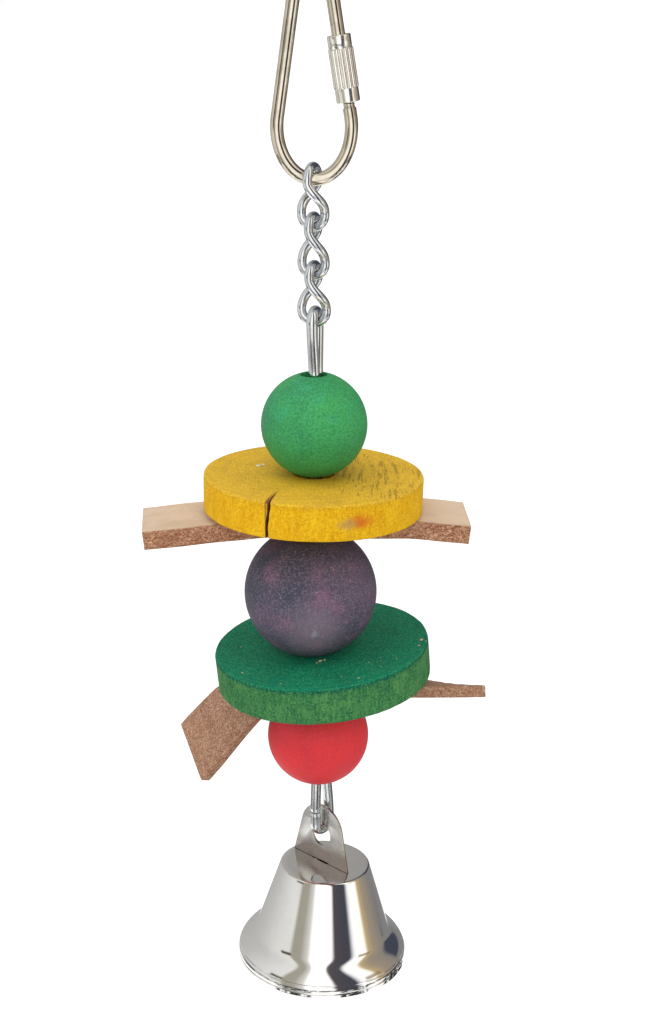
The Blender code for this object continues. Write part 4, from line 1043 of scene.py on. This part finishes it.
# %% Upper strap
UPPER_WIDTH, UPPER_THICKNESS, UPPER_BACK = 18.6 * MM, 4.4 * MM, 0.8 * MM
UPPER_LEFT, UPPER_RIGHT = 39.3 * MM, 35.8 * MM
LEFT_SKEW, RIGHT_SKEW, UPPER_YAW = -0.04, 0.02, math.radians(2.5)
LEFT_DROOP, LEFT_FROM = math.radians(7.0), 8.0 * MM
RIGHT_DROOP, RIGHT_FROM = math.radians(5.5), 20.0 * MM
DROOP_ARC = 7.0 * MM
RIPPLE, RIPPLE_ALONG, RIPPLE_ACROSS = 0.05 * MM, 420.0, 150.0


def drooped(distance, angle, start):
    """Run and drop of a strip that turns down by an angle over a short arc from a start."""
    radius = DROOP_ARC / angle
    turn = np.clip((distance - start) / radius, 0.0, angle)
    rest = np.maximum(distance - start - DROOP_ARC, 0.0)
    return (np.minimum(distance, start) + radius * np.sin(turn) + rest * math.cos(angle),
            radius * (1.0 - np.cos(turn)) + rest * math.sin(angle))


def upper_bend(along, across):
    """Run right less run left, less both drops, turned askew. A sine of the place ripples it faintly."""
    across = across + UPPER_BACK
    left_run, left_drop = drooped(np.maximum(-along, 0.0), LEFT_DROOP, LEFT_FROM)
    right_run, right_drop = drooped(np.maximum(along, 0.0), RIGHT_DROOP, RIGHT_FROM)
    run, c, s = right_run - left_run, math.cos(UPPER_YAW), math.sin(UPPER_YAW)
    ripple = RIPPLE * np.sin(along * RIPPLE_ALONG + across * RIPPLE_ACROSS)
    return np.stack([run * c - across * s, run * s + across * c, ripple - left_drop - right_drop], axis=-1)


upper_leather = leather("grain_leather_finish", pivot["upper_strap"], (0.520, 0.240, 0.130),
                        (0.800, 0.530, 0.350), (0.240, 0.085, 0.040))
upper_mesh = strap_mesh("upper_strap", frame_of(pivot["upper_strap"], axis["upper_strap"]),
                        lambda across: -UPPER_LEFT + LEFT_SKEW * across,
                        lambda across: UPPER_RIGHT + RIGHT_SKEW * across,
                        UPPER_WIDTH, UPPER_THICKNESS, upper_bend, 3)
add_piece("upper_strap_leather", upper_mesh, "upper_strap", upper_leather, ["upper_leather_strap"],
          sharp=55.0)


# %% [markdown]
# The lower strap is thin and limp. Its left end rolls down over a fold line that crosses it
# aslant, and its right end twists about the near edge and droops. Both are rules of how far a
# point lies past a line, so the strip keeps its length as it bends.

# %% Lower strap
LOWER_WIDTH, LOWER_THICKNESS = 14.7 * MM, 2.7 * MM
LOWER_LEFT, LOWER_RIGHT = 45.2 * MM, 37.5 * MM
FOLD_LINE, FOLD_FROM = math.radians(-52.7), 7.4 * MM
FOLD_RADIUS, FOLD_ANGLE = 10.5 * MM, math.radians(68.0)
FLARE, FLARE_FROM = 0.13, 22.0 * MM
TWIST_ANGLE, TWIST_FROM = math.radians(26.0), 8.5 * MM
LOWER_DROOP, LOWER_FROM = math.radians(4.0), 4.0 * MM


def lower_bend(along, across):
    """Right of the bore: twist about the near edge by a sine of the way. Left: roll over a cylinder.

    The left end is stretched a little wider towards its cut, as limp suede is.
    """
    across = across * (1.0 + FLARE * smooth((-along - FLARE_FROM) / FLARE_FROM))
    way = np.clip((along - TWIST_FROM) / (LOWER_RIGHT - TWIST_FROM), 0.0, 1.0)
    turn = TWIST_ANGLE * np.sin(math.pi / 2 * way)
    reach = across + LOWER_WIDTH / 2
    run, drop = drooped(np.maximum(along, 0.0), LOWER_DROOP, LOWER_FROM)
    away = math.sin(FOLD_LINE), -math.cos(FOLD_LINE)
    past = np.where(along < 0.0, np.maximum(along * away[0] + across * away[1] - FOLD_FROM, 0.0), 0.0)
    roll = np.minimum(past / FOLD_RADIUS, FOLD_ANGLE)
    rest = np.maximum(past - FOLD_RADIUS * FOLD_ANGLE, 0.0)
    out = FOLD_RADIUS * np.sin(roll) + rest * math.cos(FOLD_ANGLE) - past
    down = FOLD_RADIUS * (1.0 - np.cos(roll)) + rest * math.sin(FOLD_ANGLE)
    return np.stack([np.minimum(along, 0.0) + run + away[0] * out,
                     reach * np.cos(turn) - LOWER_WIDTH / 2 + away[1] * out,
                     -reach * np.sin(turn) - drop - down], axis=-1)


lower_leather = leather("suede_finish", pivot["lower_strap"], (0.500, 0.265, 0.160), (0.740, 0.490, 0.345),
                        (0.240, 0.100, 0.055))
lower_mesh = strap_mesh("lower_strap", frame_of(pivot["lower_strap"], axis["lower_strap"]),
                        lambda across: -LOWER_LEFT + 0 * across, lambda across: LOWER_RIGHT + 0 * across,
                        LOWER_WIDTH, LOWER_THICKNESS, lower_bend, 5, grain_side=0.0)
add_piece("lower_strap_leather", lower_mesh, "lower_strap", lower_leather, ["lower_leather_strap"],
          sharp=55.0)


# %% [markdown]
# The bell is a spun sheet: a flat crown with a crisp edge, a cone, a flare that turns upright, and
# a lip with two fine grooves. Its outline is one curve, worked out from the crown down.

# %% Outline of the bell
BELL_HEIGHT, BELL_WALL = 25.4 * MM, 0.8 * MM
CROWN_RADIUS, CROWN_CORNER = 11.0 * MM, 0.6 * MM
WAIST_RADIUS, WAIST_DROP, WAIST_BLEND = 16.6 * MM, 18.4 * MM, 0.8 * MM
MOUTH_RADIUS, LIP_HEIGHT = 20.7 * MM, 2.0 * MM
LIP_TURN, LIP_TURN_HEIGHT = 0.25 * MM, 0.5 * MM
FLARE_START, FINE_FROM = math.radians(50.0), 15.0 * MM
LIP_GROOVES, GROOVE_WIDTH = ((3.3 * MM, 0.08 * MM), (1.5 * MM, 0.05 * MM)), 0.16 * MM


def bell_outline():
    """Crown and eased corner, then radius as a function of the drop below the crown.

    The cone's straight line and the flare's quarter ellipse are joined by a soft maximum, which
    leaves a fillet at the waist. Two narrow grooves in the lip are taken off at the end.
    """
    corner = np.array(arc((CROWN_RADIUS - CROWN_CORNER, -CROWN_CORNER), CROWN_CORNER, 90, 20, 8))
    edge_radius, edge_drop = corner[-1, 0], -corner[-1, 1]
    drop = np.concatenate([np.linspace(edge_drop, FINE_FROM, 30)[1:],
                           np.linspace(FINE_FROM, BELL_HEIGHT, 130)[1:]])
    cone = edge_radius + (WAIST_RADIUS - edge_radius) * (drop - edge_drop) / (WAIST_DROP - edge_drop)
    way = (drop - WAIST_DROP) / (BELL_HEIGHT - LIP_HEIGHT - WAIST_DROP)
    cosine = np.clip(math.cos(FLARE_START) * (1.0 - way), 0.0, 1.0)
    start = math.sin(FLARE_START)
    flared = (np.sqrt(1.0 - cosine ** 2) - start) / (1.0 - start)
    flare = WAIST_RADIUS + (MOUTH_RADIUS - WAIST_RADIUS) * flared
    radius = flare + WAIST_BLEND * np.log1p(np.exp((cone - flare) / WAIST_BLEND))
    for height, depth in LIP_GROOVES:
        radius = radius - depth * np.exp(-((BELL_HEIGHT - drop - height) / GROOVE_WIDTH) ** 2)
    radius = radius - LIP_TURN * smooth((drop - BELL_HEIGHT + LIP_TURN_HEIGHT) / LIP_TURN_HEIGHT)
    flat = np.column_stack([np.linspace(0.0, corner[0][0], 10)[:-1], np.zeros(9)])
    return np.concatenate([flat, corner, np.column_stack([radius, -drop])])


# %% [markdown]
# The bell leans a little and hangs off the tab's middle. The inside is the outline moved in by the
# wall's thickness, so one closed outline turns into both skins at once. A slot is cut in the crown
# for the tab's tongue.

# %% Bell
BELL_LEAN, BELL_OFFSET = math.radians(2.3), 1.3 * MM
TAB_HOLE, TAB_HOLE_HEIGHT = 6.0 * MM, 7.2 * MM
TAB_THICKNESS, TONGUE_WIDTH = 0.7 * MM, 4.4 * MM
crown_drop = TAB_HOLE / 2 - HANGER_WIRE / 2 - CLEARANCE + TAB_HOLE_HEIGHT
tab_along = (axis["bell"][1], -axis["bell"][0], 0.0)


def bell_place(offset):
    """Frame on the crown: +X along the tab, +Z up the leaning bell, origin moved along the tab."""
    level = frame_of((0.0, 0.0, 0.0), (0.0, 0.0, 1.0), tab_along)[1]
    c, s = math.cos(BELL_LEAN), math.sin(BELL_LEAN)
    turn = np.array([[c, 0.0, s], [0.0, 1.0, 0.0], [-s, 0.0, c]]) @ level
    return pivot["bell"] + turn @ np.array([offset, 0.0, -crown_drop]), turn


def bell():
    """Outer outline down, and the inner one back up, moved in along its normal by the wall."""
    outer = bell_outline()
    along = unit(np.gradient(outer, axis=0))
    inner = outer + np.column_stack([along[:, 1], -along[:, 0]]) * BELL_WALL
    inner[0, 0] = 0.0
    return turned(np.concatenate([outer, inner[::-1]]), bell_place(BELL_OFFSET), 192)


def box_grid(half_x, half_y, low, high):
    """A closed box round the tab's middle, as a ring of four edges carried from low to high."""
    corners = np.array([[-half_x, -half_y], [half_x, -half_y], [half_x, half_y], [-half_x, half_y]])
    rows = [np.column_stack([corners * share, np.full(4, z)])
            for share, z in ((0.0, low), (1.0, low), (1.0, high), (0.0, high))]
    return placed(np.array(rows), bell_place(0.0))


tab_slot = box_grid(TONGUE_WIDTH / 2 + CLEARANCE, TAB_THICKNESS / 2 + CLEARANCE, -2.0 * MM, 2.0 * MM)
bell_mesh = carve(closed_mesh("bell", bell()), closed_mesh("tab_slot", tab_slot))
add_piece("bell_cup", bell_mesh, "bell", bell_metal, ["bell_shell"], sharp=30.0)


# %% [markdown]
# The tab is stamped from strip: a rounded triangle above the crown, a tongue through its slot, one
# hole for the wire and one for the clapper. A flat outline with holes is what a filled curve is
# for, and a small bevel gives it the stamped, rounded edge. Two ears under the crown hold it.

# %% Tab
TAB_WIDTH, TAB_HEIGHT, TAB_TOP_RADIUS = 17.6 * MM, 15.0 * MM, 6.6 * MM
TONGUE_DROP, TONGUE_HOLE = 3.4 * MM, 2.2 * MM
TAB_EDGE, TAB_SEAT = 0.1 * MM, 0.05 * MM
EAR_WIDTH, EAR_SPREAD = 3.5 * MM, 4.8 * MM


def tab_outline():
    """Arc on top, tangents down to the base's corners, and the tongue with its round end."""
    apex = TAB_HEIGHT - TAB_TOP_RADIUS
    reach = np.array([TAB_WIDTH / 2, TAB_SEAT - apex])
    tilt = math.degrees(math.atan2(-reach[1], reach[0]) - math.acos(TAB_TOP_RADIUS / np.linalg.norm(reach)))
    tip, half = -BELL_WALL - TONGUE_DROP, TONGUE_WIDTH / 2
    return [*arc((0.0, apex), TAB_TOP_RADIUS, -tilt, 180 + tilt, 60), (-TAB_WIDTH / 2, TAB_SEAT),
            (-half, TAB_SEAT), *arc((0.0, tip), half, -180, 0, 30), (half, TAB_SEAT),
            (TAB_WIDTH / 2, TAB_SEAT)]


def tab():
    """Outline and holes as a filled curve; its point (x, y, z) goes to (x, -z, y) on the bell."""
    curve = bpy.data.curves.new("tab", "CURVE")
    curve.dimensions, curve.fill_mode = "2D", "BOTH"
    curve.extrude, curve.bevel_depth, curve.bevel_resolution = TAB_THICKNESS / 2 - TAB_EDGE, TAB_EDGE, 2
    curve.offset = -TAB_EDGE
    holes = [(TAB_HOLE_HEIGHT, TAB_HOLE / 2), (-BELL_WALL - TONGUE_DROP, TONGUE_HOLE / 2)]
    for loop in [tab_outline(), *[arc((0.0, z), radius, 0, 360 * 63 / 64, 64) for z, radius in holes]]:
        spline = curve.splines.new("POLY")
        spline.points.add(len(loop) - 1)
        spline.points.foreach_set("co", np.array([(x, y, 0.0, 1.0) for x, y in loop]).ravel())
        spline.use_cyclic_u = True
    mesh = final_mesh(add_object("tab_guide", curve))
    flat = np.empty(len(mesh.vertices) * 3)
    mesh.vertices.foreach_get("co", flat)
    flat = flat.reshape(-1, 3)
    upright = np.column_stack([flat[:, 0], -flat[:, 2], flat[:, 1]])
    mesh.vertices.foreach_set("co", placed(upright, bell_place(0.0)).ravel())
    return outwards(mesh, 0.001 * MM)


ear_top = -BELL_WALL - CLEARANCE
ears = box_grid(EAR_WIDTH / 2, EAR_SPREAD / 2, ear_top - TAB_THICKNESS, ear_top)
add_piece("bell_tab_plate", tab(), "bell", tab_metal, ["bell_tab"], sharp=35.0)
add_piece("bell_tab_ears", ears, "bell", tab_metal, [])


# %% [markdown]
# The clapper is a drilled ball on a bit of wire, bent to an open eye above and swaged flat below.

# %% Clapper
CLAPPER_WIRE, CLAPPER_EYE, CLAPPER_OPENING = 1.2 * MM, 3.2 * MM, math.radians(125.0)
CLAPPER_BALL, CLAPPER_BORE, CLAPPER_DROP = 7.6 * MM, 1.8 * MM, 13.0 * MM
CLAPPER_HEAD, HEAD_GAP, HEAD_STEP = 2.6 * MM, 0.25 * MM, 0.2 * MM
clapper_place = frame_of(pivot["clapper"], (0.0, 0.0, 1.0), tab_along)


def clapper_stem():
    """Open eye in the frame's YZ plane, straight stem, and a head that swells to its full width."""
    radius = CLAPPER_EYE / 2
    a = np.linspace(-CLAPPER_OPENING, math.pi, 60)
    head = -CLAPPER_DROP - CLAPPER_BALL / 2 - HEAD_GAP
    down = np.concatenate([np.linspace(-2 * radius - CLAPPER_WIRE, head + HEAD_STEP, 30),
                           np.linspace(head, head - CLAPPER_WIRE, 10)])
    path = np.concatenate([np.column_stack([0 * a, radius * np.sin(a), -radius + radius * np.cos(a)]),
                           np.column_stack([0 * down, 0 * down, down])])
    radii = np.full(len(path), CLAPPER_WIRE / 2)
    radii[-10:] = CLAPPER_HEAD / 2 * (1.0 - 0.25 * np.linspace(-1.0, 1.0, 10) ** 4)
    radii[0] *= 0.85
    return placed(swept(path, (1.0, 0.0, 0.0), radii, 20), clapper_place)


def clapper_weight():
    """Arc from one end of the bore to the other; the closing row of faces is the bore."""
    edge = math.degrees(math.acos(CLAPPER_BORE / CLAPPER_BALL))
    return turned(arc((0.0, -CLAPPER_DROP), CLAPPER_BALL / 2, edge, -edge, 40), clapper_place, 64)


add_piece("clapper_stem", clapper_stem(), "clapper", clapper_metal, ["clapper_wire"],
          sharp=55.0)
add_piece("clapper_weight", clapper_weight(), "clapper", clapper_metal, ["clapper_ball"],
          wrap=True)


# %% [markdown]
# The studio is white all round, as in a catalogue picture. The floor and the world are white to the
# camera and to reflections, and to the toy the world is a softer dome. A mirror in a white room has
# no shape, so dark cards and props stand where only reflections see them, as a photographer's
# flags do.

# %% Floor and room
FLOOR_Z, FLOOR_REACH, FLOOR_GLOW = -0.75, 40.0, 0.56
DOME = 0.73
WHITE, PROP_COLOUR = (1.0, 1.0, 1.0), (0.03, 0.03, 0.03)


def add_stage(name, mesh, finish):
    """A mesh with its finish, as a part of the studio."""
    mesh.materials.append(finish)
    thing = add_object(name, mesh)
    return thing


def seen_directly(nodes):
    """Two masks: 1 for rays from the camera or a mirror, and 1 for a mirror's rays alone."""
    camera, mirror = (nodes.node("ShaderNodeLightPath", output=output)
                      for output in ("Is Camera Ray", "Is Glossy Ray"))
    return camera.math("MAXIMUM", camera, mirror), mirror


def white_floor():
    """Matt floor with a glow for the camera and mirrors, so that it reads white and keeps shadows.

    A few dark props on it are seen in mirrors alone: they break up the bell's bright lip.
    """
    finish = Finish("white_floor", Roughness=0.9, Emission_Color=WHITE)
    seen, mirror = seen_directly(finish)
    where = finish.place()
    turn = finish.azimuth(where)
    props = (turn.band(-1.15, -1.05, -0.30, -0.22) + turn.band(0.40, 0.48, 1.10, 1.18)
             + turn.band(1.60, 1.70, 2.55, 2.65)) * finish.noise(where, 9.0, 3.0, 0.6).step(0.42, 0.45)
    props = props * finish.length(where).band(0.85, 0.90, 1.5, 1.6) * mirror
    return finish.set(Base_Color=finish.mix(props, (0.80, 0.80, 0.80), PROP_COLOUR),
                      Emission_Strength=seen * (1.0 - props) * FLOOR_GLOW)


floor = bpy.data.meshes.new("floor")
corners = [(x * FLOOR_REACH, y * FLOOR_REACH, FLOOR_Z) for x, y in ((-1, -1), (1, -1), (1, 1), (-1, 1))]
floor.from_pydata(corners, [], [(0, 1, 2, 3)])
add_stage("floor", floor, white_floor())

world = bpy.data.worlds.new("white_room")
bpy.context.scene.world = world
world.use_nodes = True
room, sky = Nodes(world.node_tree), world.node_tree.nodes["Background"]
room.connect(sky.inputs["Color"], WHITE)
room.connect(sky.inputs["Strength"], seen_directly(room)[0] * (1.0 - DOME) + DOME)
print("world strength on the toy:", DOME)


# %% [markdown]
# Four large square lamps face the toy and give it soft shadows. They are hidden from mirrors, so
# that the bell shows only the ring of cards, the floor and the other pieces.

# %% Lamps
TOY_MIDDLE = np.array([0.0, 0.0, -0.12])
LAMPS = {"key_lamp": ((0.05, -0.90, 0.25), 0.5, 1.9), "top_lamp": ((-0.20, -0.25, 0.85), 0.9, 3.2),
         "left_lamp": ((-0.90, -0.35, 0.05), 0.6, 1.2), "right_lamp": ((0.90, -0.30, 0.20), 0.6, 1.0)}


def matrix(origin, turn):
    """A frame of this script as Blender's 4 by 4 matrix."""
    return Matrix([[*turn[row], origin[row]] for row in range(3)] + [[0, 0, 0, 1]])


for name, (place, size, power) in LAMPS.items():
    lamp = bpy.data.lights.new(name, "AREA")
    lamp.shape, lamp.size, lamp.energy = "SQUARE", size, power
    stand = add_object(name, lamp)
    stand.matrix_world = matrix(*frame_of(place, place - TOY_MIDDLE))
    stand.visible_glossy = False
print("lamps:", ", ".join(LAMPS))


# %% [markdown]
# The ring of cards stands a metre away. Its shade is a ramp over the azimuth, counted from the
# camera's side to the right: greys on the left, a narrow grey-brown card, a white soft box, a
# dark flag right of the lens, white again, and brown-grey round the right side and the back. One
# more dark flag hangs high at the right, and the bell's flare catches it.

# %% Reflection ring
RING_RADIUS, RING_TOP, RING_LIFT = 1.0, 4.0, 0.005
CARDS = [(-180, (0.44, 0.43, 0.42)), (-120, (0.62, 0.62, 0.62)), (-75, (0.88, 0.88, 0.87)),
         (-56, (0.92, 0.92, 0.89)), (-50, (0.42, 0.40, 0.34)), (-36, (0.44, 0.42, 0.36)),
         (-24, (0.80, 0.79, 0.76)), (-19, (1.35, 1.35, 1.35)), (15, (1.35, 1.35, 1.35)),
         (20, (0.09, 0.075, 0.09)), (46, (0.06, 0.065, 0.09)), (53, (1.10, 1.10, 1.15)),
         (58, (1.35, 1.35, 1.35)), (74, (1.35, 1.33, 1.25)), (80, (0.62, 0.47, 0.25)),
         (92, (0.40, 0.33, 0.25)), (120, (0.26, 0.25, 0.24)), (150, (0.25, 0.25, 0.26)),
         (180, (0.40, 0.39, 0.38))]


def card_finish():
    """Glow read from CARDS by the azimuth, with patches that are bands of azimuth and height."""
    finish = Finish("ring_of_cards", Base_Color=(0.0, 0.0, 0.0), Roughness=1.0, Emission_Strength=1.0)
    where = finish.place()
    azimuth, height = finish.azimuth(where), finish.part(where, 2)
    stops = [((degrees + 180.0) / 360.0, colour) for degrees, colour in CARDS]
    shade = finish.node("ShaderNodeValToRGB", {"stops": stops}, {0: azimuth / (2.0 * math.pi) + 0.5})
    strip = height.band(-0.19, -0.07, 0.05, 0.30)
    low = (height.step(-0.52, -0.54) * finish.noise(where, 5.0, 3.0, 0.6).step(0.45, 0.48)
           * azimuth.band(-2.3, -2.1, 2.1, 2.3))
    flag = height.step(-0.22, -0.12) * azimuth.band(1.95, 2.10, 2.70, 2.85)
    return finish.set(Emission_Color=finish.over(
        shade, (strip * azimuth.band(-1.25, -1.18, -0.93, -0.86) * 0.95, (0.08, 0.055, 0.03)),
        (strip * azimuth.band(1.02, 1.10, 1.42, 1.50) * 0.8, (0.34, 0.23, 0.10)),
        (low * 0.9, (0.05, 0.05, 0.06)), (flag, (0.055, 0.065, 0.095))))


wall = turned([(RING_RADIUS, FLOOR_Z + RING_LIFT), (RING_RADIUS, RING_TOP)], LEVEL)
ring = add_stage("ring_of_cards", closed_mesh("ring_of_cards", wall), card_finish())
ring.visible_camera = ring.visible_diffuse = ring.visible_shadow = ring.visible_transmission = False
print("the ring has", len(CARDS), "shades over", len(ring.data.polygons), "faces")


# %% [markdown]
# The camera was found from the photograph: the rims of the two slices and the legs of the quick
# link fix how far down it looks, its distance and its focal length together.

# %% Camera
FOCAL_PIXELS, PHOTO_HEIGHT, SENSOR = 1684.0, 1024.0, 36.0
CAMERA_PLACE = (1.68 * MM, -368.2 * MM, 0.2 * MM)
CAMERA_DOWN, CAMERA_ROLL = math.radians(17.91), math.radians(-0.45)

lens = bpy.data.cameras.new("photo_camera")
lens.sensor_fit, lens.sensor_height, lens.clip_start = "VERTICAL", SENSOR, 0.01
lens.lens = SENSOR * FOCAL_PIXELS / PHOTO_HEIGHT
camera = add_object("photo_camera", lens)
right, back = np.array([1.0, 0.0, 0.0]), np.array([0.0, -math.cos(CAMERA_DOWN), math.sin(CAMERA_DOWN)])
above = np.cross(back, right)
c, s = math.cos(CAMERA_ROLL), math.sin(CAMERA_ROLL)
axes = np.column_stack([c * right + s * above, c * above - s * right, back])
camera.matrix_world = matrix(CAMERA_PLACE, axes)
bpy.context.scene.camera = camera
print("lens:", round(lens.lens, 2), "mm")


# %% [markdown]
# Last, the colour handling is set to Standard, so that colours come out as they are written.

# %% Finish
bpy.context.scene.view_settings.view_transform = "Standard"
